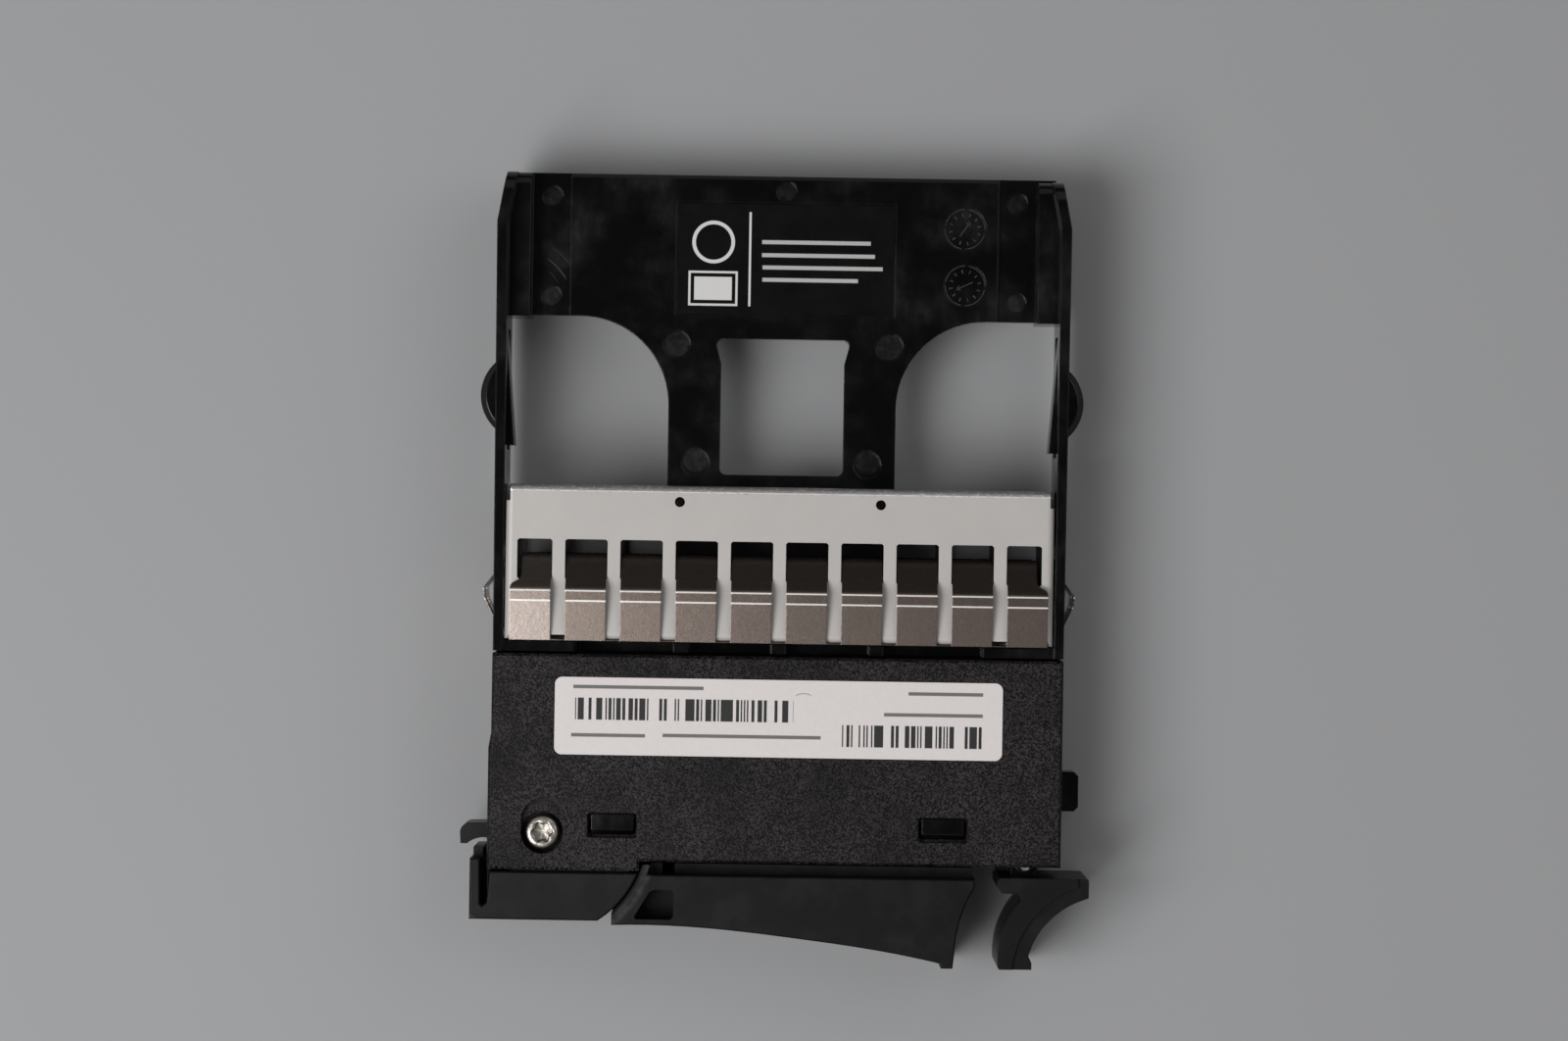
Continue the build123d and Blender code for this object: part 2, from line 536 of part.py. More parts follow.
def lug():
    """Guide lug on the latch side of the housing."""
    solid = block(HOUSING_HALF_WIDTH - OVERLAP, HOUSING_HALF_WIDTH + LUG_REACH, *LUG_Y, *LUG_Z)
    return chamfer(solid.edges().filter_by(Axis.Z).group_by(Axis.X)[-1], LUG_CORNER)


def carrier_frame():
    """The whole carrier moulding."""
    solid = tray() + rear_bar() + lug()
    solid += rod(PIVOT, SLEEVE_RADIUS + INSERT_POST_WALL, TRAY_FLOOR, POST_TOP)
    solid += flush_boss(-HOUSING_HALF_THICK + EDGE_BREAK, -LATCH_HALF_HEIGHT - NEST_GAP)
    for centre in SNAP_CENTRES:
        solid += snap_post(centre)
    for side in (-1, 1):
        solid += rail(side)
        solid += tongue(side)
    solid += core()
    solid += plate_sides()
    for peg in pegs():
        solid += peg
    for mark in ejector_marks():
        solid -= mark
    for place in DATE_INSERTS:
        solid -= rod(place, DATE_INSERT_RADIUS, CORE_HALF_THICK - DATE_INSERT_DEPTH, CORE_HALF_THICK + PAST)
    solid -= label_seat()
    solid -= prism(PIVOT, INSERT_RADIUS, 6, INSERT_FOOT, POST_TOP + PAST)
    solid -= rod(LATCH_PIN, LATCH_PIN_RADIUS, LATCH_PIN_FOOT, 0)
    return one(solid)


# ---------------------------------------------------------------- cover
def screw_recess():
    """Obround recess: a full counterbore and a shallower crescent behind it."""
    x, y = PIVOT
    shallow, above = HOUSING_HALF_THICK - CRESCENT_DEPTH, HOUSING_HALF_THICK + PAST
    recess = rod((x, y + CRESCENT_SHIFT), COUNTERBORE_RADIUS, shallow, above)
    recess += block(x - COUNTERBORE_RADIUS, x + COUNTERBORE_RADIUS, y, y + CRESCENT_SHIFT, shallow, above)
    recess += rod(PIVOT, COUNTERBORE_RADIUS, HEAD_SEAT, above)
    return recess + rod(PIVOT, SCREW_HOLE_RADIUS, 0, HEAD_SEAT + PAST)


def snap_window(centre):
    """Window with a ledge round it that a hook of the tray catches on."""
    x0, x1 = centre - SNAP_WIDTH / 2, centre + SNAP_WIDTH / 2
    window = block(x0, x1, *SNAP_Y, SNAP_LEDGE, HOUSING_HALF_THICK + PAST)
    window = chamfer(window.edges().filter_by(Axis.Z), SNAP_CORNER)
    return window + block(x0 + 0.2, x1 - 0.2, SNAP_Y[0] + 0.6, SNAP_Y[1] - 0.8, 0, SNAP_LEDGE + 0.1)


def front_cover():
    """Textured upper half of the housing, with the screw recess and the snap windows."""
    shell = slab(housing_plan(), 0, HOUSING_HALF_THICK)
    shell = chamfer(shell.faces().sort_by(Axis.Z)[-1].edges(), EDGE_BREAK)
    shell -= slab(housing_plan(HOUSING_WALL), -PAST, HOUSING_HALF_THICK - HOUSING_SKIN)
    # bosses that clamp the sleeve and hold the latch pin, and ribs that the springs push on
    ceiling = HOUSING_HALF_THICK - OVERLAP
    shell += rod(PIVOT, COUNTERBORE_RADIUS + COUNTERBORE_WALL, BOSS_FOOT, ceiling)
    shell += flush_boss(LATCH_RECESS_TOP, ceiling)
    shell += block(*LATCH_RIB_X, *LATCH_RIB_Y, LATCH_SPRING_Z + 0.3, ceiling)
    shell += block(*HANDLE_RIB_X, *HANDLE_RIB_Y, HANDLE_SPRING_Z, ceiling)
    # room for the latch's spring in the front wall
    shell -= block(LATCH_PIN[0] - 1.7, LATCH_PIN[0] + 1.7, COVER_FRONT - PAST,
                   COVER_FRONT + HOUSING_WALL + 0.2, 0, LATCH_RECESS_TOP)
    shell -= screw_recess()
    shell -= rod(LATCH_PIN, LATCH_PIN_RADIUS, 0, LATCH_PIN_TOP)
    for centre in SNAP_CENTRES:
        shell -= snap_window(centre)
    return one(shell - front_openings())


# ---------------------------------------------------------------- bezel end cap
def cap_outline():
    """Outline of the cap: a body with a concave right end, and a sprung tab on the left."""
    rear_right = on_circle(PIVOT, CAP_ARC_RADIUS, CAP_REAR)
    front_right = on_circle(PIVOT, CAP_ARC_RADIUS, CAP_FRONT)
    body_left = CAP_LEFT + TAB_WIDTH + SLIT_WIDTH
    tab_right = CAP_LEFT + TAB_WIDTH
    return (Line((body_left, CAP_REAR), rear_right)
            + ThreePointArc(rear_right, about(PIVOT, CAP_ARC_RADIUS, -40), front_right)
            + Polyline(front_right, (CAP_LEFT, CAP_FRONT), (CAP_LEFT, TAB_TOP), (tab_right, TAB_TOP),
                       (tab_right + 0.1, SLIT_FOOT + 0.3), (tab_right + 0.4, SLIT_FOOT),
                       (body_left - 0.35, SLIT_FOOT + 0.5), (body_left, CAP_REAR)))


def cap_hollow():
    """Outline of the hollow, open towards the housing."""
    radius = CAP_ARC_RADIUS - CAP_WALL
    left = CAP_LEFT + TAB_WIDTH + SLIT_WIDTH + CAP_WALL
    rear = CAP_REAR + 0.1
    rear_right = on_circle(PIVOT, radius, CAP_REAR)
    front_right = on_circle(PIVOT, radius, CAP_FRONT + CAP_WALL)
    return (Polyline((left, rear), (rear_right[0], rear), rear_right)
            + ThreePointArc(rear_right, about(PIVOT, radius, -38), front_right)
            + Polyline(front_right, (left, CAP_FRONT + CAP_WALL), (left, rear)))


def end_cap():
    """Fixed cap in front of the pivot, hollow behind, slotted for the lever's arm."""
    solid = bevel_faces(slab(make_face(cap_outline()), -FACE_HALF_THICK, FACE_HALF_THICK))
    solid -= slab(make_face(cap_hollow()), -FACE_HALF_THICK + CAP_WALL, FACE_HALF_THICK - CAP_WALL)
    solid -= block(ARM_SLOT_X[0], 0, CAP_FRONT - PAST, CAP_REAR + PAST, -ARM_SLOT_HALF, ARM_SLOT_HALF)
    # thin finger on the end of the flexible tab
    solid += block(CAP_LEFT + 0.3, CAP_LEFT + TAB_WIDTH + 0.3, TAB_TOP - 0.3, TAB_TOP + TAB_WIDTH,
                   *TAB_FINGER_Z)
    # lips that hook into the housing above and below the arm
    lip = block(*CAP_LIP_X, CAP_REAR - 1.5, CAP_LIP_REACH, *CAP_LIP_Z)
    return one(solid + lip + mirror_z(lip))


# ---------------------------------------------------------------- handle lever
def grip_outline():
    """Outline of the wedge that the fingers pull, with its concave end and its round nose."""
    band_radius = NOSE_RADIUS + NOSE_BAND
    lip_x = GRIP_TIP - GRIP_LIP_WIDTH
    tip = GRIP_TIP + 0.2
    curve = [(GRIP_LEFT + share * (lip_x - GRIP_LEFT), y) for share, y in GRIP_FRONT_CURVE]
    nose_rear = on_circle(PIVOT, NOSE_RADIUS, NOSE_REAR)
    nose_front = (GRIP_LEFT, PIVOT[1] - sqrt(NOSE_RADIUS ** 2 - (GRIP_LEFT - PIVOT[0]) ** 2))
    front = Spline((GRIP_LEFT, GRIP_FRONT_LEFT), *curve, (lip_x, GRIP_FRONT_RIGHT))
    lip = Polyline((lip_x, GRIP_FRONT_RIGHT), (lip_x + 0.3, GRIP_FRONT_RIGHT - GRIP_LIP),
                   (GRIP_TIP, GRIP_FRONT_RIGHT - GRIP_LIP), (tip, GRIP_END_FRONT))
    end = ThreePointArc((tip, GRIP_END_FRONT), GRIP_END_MIDDLE, (GRIP_RIGHT, GRIP_END_REAR))
    rear = Polyline((GRIP_RIGHT, GRIP_END_REAR), (GRIP_RIGHT, GRIP_REAR),
                    on_circle(PIVOT, band_radius, GRIP_REAR), on_circle(PIVOT, band_radius, NOSE_REAR),
                    nose_rear)
    nose = ThreePointArc(nose_rear, about(PIVOT, NOSE_RADIUS, NOSE_MID_ANGLE), nose_front)
    left = Line(nose_front, (GRIP_LEFT, GRIP_FRONT_LEFT))
    return make_face(front + lip + end + rear + nose + left)


def nose_bevel():
    """Cutter for the bevelled band round the nose, concentric with the pivot."""
    low, top = FACE_HALF_THICK - NOSE_DROP, FACE_HALF_THICK + PAST
    profile = plan((NOSE_RADIUS - PAST, low), (NOSE_RADIUS, low), (NOSE_RADIUS + NOSE_BAND, FACE_HALF_THICK),
                   (NOSE_RADIUS + NOSE_BAND, top), (NOSE_RADIUS - PAST, top))
    return Pos(PIVOT[0], PIVOT[1], 0) * revolve(Plane.XZ * profile, Axis.Z)


def pocket():
    """Cutter for the cored-out pocket beside the nose."""
    face = plan((POCKET_REAR_X[0], POCKET_REAR), (POCKET_REAR_X[1], POCKET_REAR),
                (POCKET_FRONT_X[1], POCKET_FRONT), (POCKET_FRONT_X[0], POCKET_FRONT))
    face = chamfer(face.vertices(), POCKET_CORNER)
    return slab(face, FACE_HALF_THICK - POCKET_DEPTH, FACE_HALF_THICK + PAST)


def grip():
    """Wedge that the fingers pull, bevelled round its nose, cored out from both faces."""
    solid = bevel_faces(slab(grip_outline(), -FACE_HALF_THICK, FACE_HALF_THICK))
    for cutter in (nose_bevel(), pocket()):
        solid = solid - cutter - mirror_z(cutter)
    return solid


def arm():
    """Thin arm that joins the grip to the hub through the slot of the end cap."""
    reach = NOSE_RADIUS + NOSE_BAND + OVERLAP
    middle = (ARM_FRONT_ANGLE + ARM_REAR_ANGLE) / 2
    face = plan(PIVOT, about(PIVOT, HUB_RADIUS, ARM_FRONT_ANGLE - 25), about(PIVOT, reach, ARM_FRONT_ANGLE),
                about(PIVOT, reach * 1.06, middle), about(PIVOT, reach, ARM_REAR_ANGLE),
                about(PIVOT, HUB_RADIUS, ARM_REAR_ANGLE + 12))
    return slab(face, -ARM_HALF_THICK, ARM_HALF_THICK)


def claw():
    """Ejector claw that reaches out of the housing's side and bends forwards."""
    y = PIVOT[1]
    root = PIVOT[0] - 3.8
    back = -CLAW_REACH
    bend = back + 3.9
    outline = (Line((root, y - 1.3), (bend, y - 1.15))
               + ThreePointArc((bend, y - 1.15), (back + 2.1, y - 1.3), (back + 1.0, y - 1.95))
               + Polyline((back + 1.0, y - 1.95), (back + 0.1, y - 1.95), (back, y - 0.5))
               + ThreePointArc((back, y - 0.5), (back + 0.45, y + 0.55), (back + 1.5, y + 0.9))
               + Polyline((back + 1.5, y + 0.9), (root, y + 1.1), (root, y - 1.3)))
    return slab(make_face(outline), -HUB_HALF_HEIGHT, HUB_HALF_HEIGHT)


def tail():
    """Hook behind the grip that the latch's nose holds when the handle is shut."""
    root_front = FLANGE_REAR - 0.3
    face = plan((TAIL_ROOT_X[0], root_front), (TAIL_ROOT_X[1], root_front),
                (TAIL_ROOT_X[1], TAIL_ROOT_Y[0]), (TAIL_LIMB_X[1], TAIL_ROOT_Y[0]),
                (TAIL_LIMB_X[1], TAIL_LIP_Y[0]), (TAIL_LIP_X, TAIL_LIP_Y[0]),
                (TAIL_LIP_X - 0.4, TAIL_LIP_Y[1]), (TAIL_LIMB_X[0], TAIL_LIP_Y[1]),
                (TAIL_LIMB_X[0], TAIL_ROOT_Y[1]), (TAIL_ROOT_X[0], TAIL_ROOT_Y[1]))
    return slab(face, -TAIL_HALF_THICK, TAIL_HALF_THICK)


def spring_stop():
    """Stop on the hub for the handle spring's leg."""
    sector = plan(PIVOT, *[about(PIVOT, HUB_RADIUS * 1.5, angle) for angle in HANDLE_STOP_ANGLES])
    sector = slab(sector, ARM_HALF_THICK - OVERLAP, ARM_HALF_THICK + HANDLE_STOP_HEIGHT)
    return sector & rod(PIVOT, HUB_RADIUS, 0, HUB_HALF_HEIGHT)


def handle_lever():
    """Grip, arm, hub, claw and tail in one moulding."""
    solid = grip() + arm() + claw() + tail()
    solid += rod(PIVOT, HUB_RADIUS, -ARM_HALF_THICK, ARM_HALF_THICK)
    solid += rod(PIVOT, HUB_FOOT_RADIUS, -HUB_HALF_HEIGHT, 0)
    solid += spring_stop()
    # flange behind the grip, with a notch beside the nose
    flange_left = PIVOT[0] + NOSE_RADIUS + NOSE_BAND - 0.8
    solid += block(flange_left, GRIP_RIGHT - 0.3, GRIP_REAR - OVERLAP, FLANGE_REAR, -FLANGE_TOP, FLANGE_TOP)
    solid -= block(*FLANGE_NOTCH_X, GRIP_REAR, FLANGE_REAR + PAST, FLANGE_NOTCH_FOOT, FLANGE_TOP + PAST)
    # bore for the sleeve, and room for the coil of the handle spring above the hub
    solid -= rod(PIVOT, SLEEVE_RADIUS + RUNNING_CLEARANCE, -HUB_HALF_HEIGHT - PAST, HUB_HALF_HEIGHT + PAST)
    solid -= rod(PIVOT, HANDLE_SPRING_RADIUS + HANDLE_WIRE, ARM_HALF_THICK, HUB_HALF_HEIGHT + PAST)
    return one(solid)


# ---------------------------------------------------------------- squeeze latch
def latch_plan():
    """Outline of the squeeze tab: the bar across the corner and the curved finger rest."""
    bar_front = LATCH_REAR - LATCH_BAR
    bar_right = REST_TOP + 0.5
    stem = on_circle(INNER_CENTRE, INNER_RADIUS, bar_front - 0.9, side=-1)
    inner_low = on_circle(INNER_CENTRE, INNER_RADIUS, LATCH_TIP + 0.3, side=-1)
    rest_top = on_circle(REST_CENTRE, REST_RADIUS, REST_TOP, side=-1)
    rest_low = on_circle(REST_CENTRE, REST_RADIUS, REST_FOOT, side=-1)
    foot_x = rest_low[0] + 0.45
    bar = Polyline((LATCH_RIGHT, bar_right), (LATCH_RIGHT, LATCH_REAR - 0.2), (LATCH_RIGHT - 0.2, LATCH_REAR),
                   (LATCH_LEFT + 0.3, LATCH_REAR), (LATCH_LEFT, LATCH_REAR - 0.3),
                   (LATCH_LEFT, bar_front + 0.8), (LATCH_LEFT + 0.6, bar_front),
                   (stem[0] - 0.1, bar_front), stem)
    inner = ThreePointArc(stem, about(INNER_CENTRE, INNER_RADIUS, 159), inner_low)
    foot = Polyline(inner_low, (inner_low[0] + 0.2, LATCH_TIP), (foot_x, LATCH_TIP),
                    (foot_x, LATCH_TIP + 0.9), rest_low)
    rest = ThreePointArc(rest_low, about(REST_CENTRE, REST_RADIUS, 132), rest_top)
    return make_face(bar + inner + foot + rest + Line(rest_top, (LATCH_RIGHT, bar_right)))


def latch_rim():
    """Cutter for the band along the finger rest and the right end, which stands a little lower."""
    low, top = FACE_HALF_THICK - REST_RIM_STEP, FACE_HALF_THICK + PAST
    end = block(LATCH_RIGHT - END_RIM, LATCH_RIGHT + PAST, REST_TOP - PAST, LATCH_REAR + PAST, low, top)
    return rod(REST_CENTRE, REST_RADIUS + REST_RIM, low, top) + end


def latch_nose():
    """Nose that holds the handle's tail."""
    x, y = LATCH_PIN
    nose_x = TAIL_LIP_X + LATCH_NOSE_CLEARANCE
    nose_y = TAIL_LIP_Y[0] - MOULD_GAP
    face = plan((x - 1.6, y + 0.7), (x - 3.1, y + 3.5), (nose_x, y + 4.0), (nose_x, nose_y),
                (x - 2.4, nose_y + 0.2), (x + 1.3, y + 1.5))
    return slab(face, -TAIL_HALF_THICK, TAIL_HALF_THICK)


def latch_hook():
    """Squeeze tab with its hub and nose, in one moulding."""
    solid = slab(latch_plan(), -FACE_HALF_THICK, FACE_HALF_THICK)
    rim = latch_rim()
    solid = solid - rim - mirror_z(rim)
    solid += rod(LATCH_PIN, LATCH_HUB_RADIUS, -LATCH_HALF_HEIGHT, LATCH_HALF_HEIGHT)
    solid += block(LATCH_PIN[0] - LATCH_STEM, LATCH_PIN[0] + LATCH_STEM, LATCH_REAR - 0.4, LATCH_PIN[1],
                   -LATCH_HALF_HEIGHT, LATCH_HALF_HEIGHT)
    solid += latch_nose()
    # lug that the latch's spring pushes on
    solid += block(*LATCH_LUG_X, *LATCH_LUG_Y, 0, LATCH_SPRING_Z + 0.4)
    solid -= rod(LATCH_PIN, LATCH_PIN_RADIUS + RUNNING_CLEARANCE, -HOUSING_HALF_THICK, HOUSING_HALF_THICK)
    return one(solid)


# ---------------------------------------------------------------- fasteners, pins and springs
def pivot_screw():
    """Pan-head screw with a six-lobe socket."""
    shank = rod(PIVOT, SCREW_RADIUS, INSERT_FOOT + 0.4, HEAD_SEAT)
    head = rod(PIVOT, SCREW_HEAD_RADIUS, HEAD_SEAT, HEAD_TOP)
    head = chamfer(head.edges().group_by(Axis.Z)[-1], 0.35, 0.8)
    star = [about(PIVOT, SOCKET_LOBE if corner % 2 else SOCKET_WAIST, 30 * corner) for corner in range(12)]
    return one(head + shank - slab(plan(*star), HEAD_TOP - SOCKET_DEPTH, HEAD_TOP + PAST))


def pivot_sleeve():
    """Turned sleeve between the cover's boss and the tray's post."""
    tube = rod(PIVOT, SLEEVE_RADIUS, POST_TOP, BOSS_FOOT)
    return one(tube - rod(PIVOT, SCREW_HOLE_RADIUS, POST_TOP - PAST, BOSS_FOOT + PAST))


def threaded_insert():
    """Six-sided brass insert, pressed into the tray's post."""
    body = prism(PIVOT, INSERT_RADIUS, 6, INSERT_FOOT, POST_TOP)
    return one(body - rod(PIVOT, SCREW_RADIUS + 0.04, INSERT_FOOT - PAST, POST_TOP + PAST))


def handle_spring():
    """Torsion spring that throws the handle open: a coil on the sleeve and two straight legs."""
    return one(torsion_spring(PIVOT, HANDLE_SPRING_RADIUS, HANDLE_WIRE, HANDLE_SPRING_Z,
                              HANDLE_SPRING_START, HANDLE_SPRING_TURNS, HANDLE_SPRING_LEGS))


def latch_pin():
    """Steel pin of the squeeze latch."""
    return rod(LATCH_PIN, LATCH_PIN_RADIUS, LATCH_PIN_FOOT, LATCH_PIN_TOP)


def latch_spring():
    """Torsion spring that holds the squeeze tab out."""
    return one(torsion_spring(LATCH_PIN, LATCH_SPRING_RADIUS, LATCH_WIRE, LATCH_SPRING_Z,
                              LATCH_SPRING_START, LATCH_SPRING_TURNS, LATCH_SPRING_LEGS))


# ---------------------------------------------------------------- shielding box
def finger_centres():
    first = -(FINGER_COUNT - 1) / 2 * FINGER_PITCH
    return [first + i * FINGER_PITCH for i in range(FINGER_COUNT)]


def box_skin():
    """Whole folded box of the shield before it is split into halves."""
    depth = SHIELD_REAR - SHIELD_FRONT
    outer = Box(2 * SHIELD_HALF_WIDTH, depth, 2 * SHIELD_HALF_THICK)
    inner = Box(2 * (SHIELD_HALF_WIDTH - SHEET), depth - 2 * SHEET, 2 * (SHIELD_HALF_THICK - SHEET))
    folded = []
    for box, bend in ((outer, SHIELD_BEND), (inner, SHIELD_BEND - SHEET)):
        faces = box.faces().sort_by(Axis.Z)
        folded.append(fillet(faces[-1].edges() + faces[0].edges(), bend))
    return Pos(0, (SHIELD_FRONT + SHIELD_REAR) / 2, 0) * (folded[0] - folded[1])


def shield_windows(low, high):
    """Window over each contact finger. The outer two are narrower."""
    centres = finger_centres()
    half = FINGER_WIDTH / 2 + SHIELD_WINDOW_GAP
    windows = []
    for x in centres:
        left = x - half + (SHIELD_END_WINDOW if x == centres[0] else 0)
        right = x + half - (SHIELD_END_WINDOW if x == centres[-1] else 0)
        window = block(left, right, *SHIELD_WINDOW_Y, low, high)
        windows.append(chamfer(window.edges().filter_by(Axis.Z), SHIELD_WINDOW_CORNER))
    return windows


def shield_top():
    """Upper half of the box: plate with windows, pierced for the pegs, flanges all round."""
    far = 2 * HOUSING_HALF_WIDTH
    low, high = SHIELD_HALF_THICK - 2 * SHIELD_BEND - PAST, SHIELD_HALF_THICK + PAST
    solid = box_skin() & block(-far, far, 0, CARRIER_LENGTH, 0.1, HOUSING_HALF_THICK)
    for window in shield_windows(low, high):
        solid -= window
    centres = finger_centres()
    for side in (-1, 1):
        notch_x = side * (centres[-1] + centres[-2]) / 2
        solid -= block(notch_x - SHIELD_NOTCH[0], notch_x + SHIELD_NOTCH[0], SHIELD_FRONT - PAST,
                       SHIELD_FRONT + SHIELD_NOTCH[1], low, high)
        slit_x = sorted((side * (SHIELD_HALF_WIDTH - SHIELD_CORNER_SLIT[0]),
                         side * (SHIELD_HALF_WIDTH + PAST)))
        solid -= block(*slit_x, SHIELD_REAR - SHIELD_CORNER_SLIT[1], SHIELD_REAR + PAST, low, high)
        # side window for the contact fingers of the rail
        wall_x = sorted((side * (SHIELD_HALF_WIDTH - PAST), side * (SHIELD_HALF_WIDTH + PAST)))
        solid -= block(*wall_x, *SHIELD_WINDOW_Y, 0, SIDE_FINGERS_REACH + 0.2)
    for place in PEG_PLACES:
        solid -= rod(place, PEG_HOLE_RADIUS, low, high)
    # slots in the front and rear flanges for the carrier's web
    solid -= block(-LEG_OUTER - 0.4, LEG_OUTER + 0.4, 0, CARRIER_LENGTH, -PAST, CORE_HALF_THICK + MOULD_GAP)
    return one(solid)


def bent_sheet(points, thickness):
    """Section of a bent sheet, drawn round its middle line with mitred corners."""
    normals = []
    for (x0, y0), (x1, y1) in zip(points, points[1:]):
        length = hypot(x1 - x0, y1 - y0)
        normals.append(((y0 - y1) / length, (x1 - x0) / length))
    edges = []
    for half in (thickness / 2, -thickness / 2):
        edge = []
        for (x, y), (a, b), (c, d) in zip(points, normals[:1] + normals, normals + normals[-1:]):
            reach = half / (1 + a * c + b * d)
            edge.append((x + (a + c) * reach, y + (b + d) * reach))
        edges.append(edge)
    return plan(*edges[0], *reversed(edges[1]))


def finger_profile(rise, dive):
    """Side view of one contact finger: along the insertion direction and away from the box."""
    root = SHIELD_FRONT - FINGER_SHEET / 2
    top = rise - FINGER_SHEET / 2
    face = bent_sheet([(root, -0.6), (root, FINGER_ROOT), (FINGER_CREST[0], top - FINGER_SHEET),
                       (FINGER_CREST[1], top), (FINGER_TIP, -dive)], FINGER_SHEET)
    return fillet(face.vertices().sort_by_distance((FINGER_CREST[1], top))[:2], FINGER_CREST_BEND)


def end_tip_cut(x, side):
    """Curved relief that narrows the tip of an end finger."""
    edge = x + side * FINGER_WIDTH / 2
    inset = edge - side * END_TIP_CUT
    y0, y1 = FINGER_CREST[1] + END_TIP_CURVE[0], FINGER_CREST[1] + END_TIP_CURVE[1]
    middle = ((edge + inset) / 2, (y0 + y1) / 2)
    curve = Spline((edge, y0), middle, (inset, y1), tangents=((0, 1), (0, 1)))
    rest = Polyline((inset, y1), (inset, FINGER_TIP + PAST), (edge + side, FINGER_TIP + PAST),
                    (edge + side, y0), (edge, y0))
    return slab(make_face(curve + rest), -SHIELD_HALF_THICK, SHIELD_HALF_THICK)


def finger_strip():
    """Strip of contact fingers, flat in plan, for the wide faces of the box."""
    profile = finger_profile(FINGER_RISE, FINGER_DIVE)
    centres = finger_centres()
    end = centres[-1] + FINGER_WIDTH / 2
    solid = block(-end, end, SHIELD_FRONT - FINGER_SHEET, SHIELD_FRONT, -FINGER_WEB, 0)
    for x in centres:
        finger = Pos(x - FINGER_WIDTH / 2, 0, 0) * extrude(Plane.YZ * profile, FINGER_WIDTH, dir=(1, 0, 0))
        if x in (centres[0], centres[-1]):
            finger -= end_tip_cut(x, -1 if x < 0 else 1)
        solid += finger
    return one(Pos(0, 0, SHIELD_HALF_THICK) * solid)


def side_strip():
    """Short strip with two fingers that reach out through the right rail."""
    profile = finger_profile(SIDE_RISE, SIDE_DIVE)
    solid = block(-FINGER_WEB, 0, SHIELD_FRONT - FINGER_SHEET, SHIELD_FRONT,
                  -SIDE_FINGERS_REACH, SIDE_FINGERS_REACH)
    for z in (-SIDE_FINGER_PITCH / 2, SIDE_FINGER_PITCH / 2):
        finger = Rot(0, 90, 0) * extrude(Plane.YZ * profile, SIDE_FINGER_WIDTH, dir=(1, 0, 0))
        solid += Pos(0, 0, z + SIDE_FINGER_WIDTH / 2) * finger
    return one(Pos(SHIELD_HALF_WIDTH, 0, 0) * solid)


# ---------------------------------------------------------------- labels
def front_label():
    """White printed film on the cover."""
    width, depth, x, y = FRONT_LABEL
    face = Pos(x, y) * RectangleRounded(width, depth, FRONT_LABEL_CORNER)
    return one(slab(face, HOUSING_HALF_THICK, HOUSING_HALF_THICK + LABEL_THICK))


def rear_label():
    """Black printed film in its seat on the rear plate."""
    width, depth, x, y = REAR_LABEL
    seat = CORE_HALF_THICK - LABEL_RECESS
    return one(slab(Pos(x, y) * Rectangle(width, depth), seat, seat + LABEL_THICK))


# ---------------------------------------------------------------- all pieces
def build():
    top_shield = shield_top()
    top_fingers = finger_strip()
    right_fingers = side_strip()
    return {
        "carrier_frame": carrier_frame(),
        "front_cover": front_cover(),
        "bezel_end_cap": end_cap(),
        "handle_lever": handle_lever(),
        "latch_hook": latch_hook(),
        "pivot_screw": pivot_screw(),
        "pivot_sleeve": pivot_sleeve(),
        "threaded_insert": threaded_insert(),
        "handle_spring": handle_spring(),
        "latch_pin": latch_pin(),
        "latch_spring": latch_spring(),
        "shield_top": top_shield,
        "shield_bottom": mirror_z(top_shield),
        "finger_strip_top": top_fingers,
        "finger_strip_bottom": mirror_z(top_fingers),
        "finger_strip_right": right_fingers,
        "finger_strip_left": mirror_x(right_fingers),
        "front_label": front_label(),
        "rear_label": rear_label(),
    }


def write(pieces):
    """Move the origin under the middle of the part and write one file per piece."""
    os.makedirs("parts", exist_ok=True)
    boxes = [piece.bounding_box() for piece in pieces.values()]
    low = [min(getattr(box.min, axis) for box in boxes) for axis in "XYZ"]
    high = [max(getattr(box.max, axis) for box in boxes) for axis in "XYZ"]
    shift = Pos(-(low[0] + high[0]) / 2, -(low[1] + high[1]) / 2, -low[2])
    for name, piece in pieces.items():
        export_step(shift * piece, f"parts/{name}.step")


write(build())
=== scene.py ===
from math import cos, radians, sin, tau

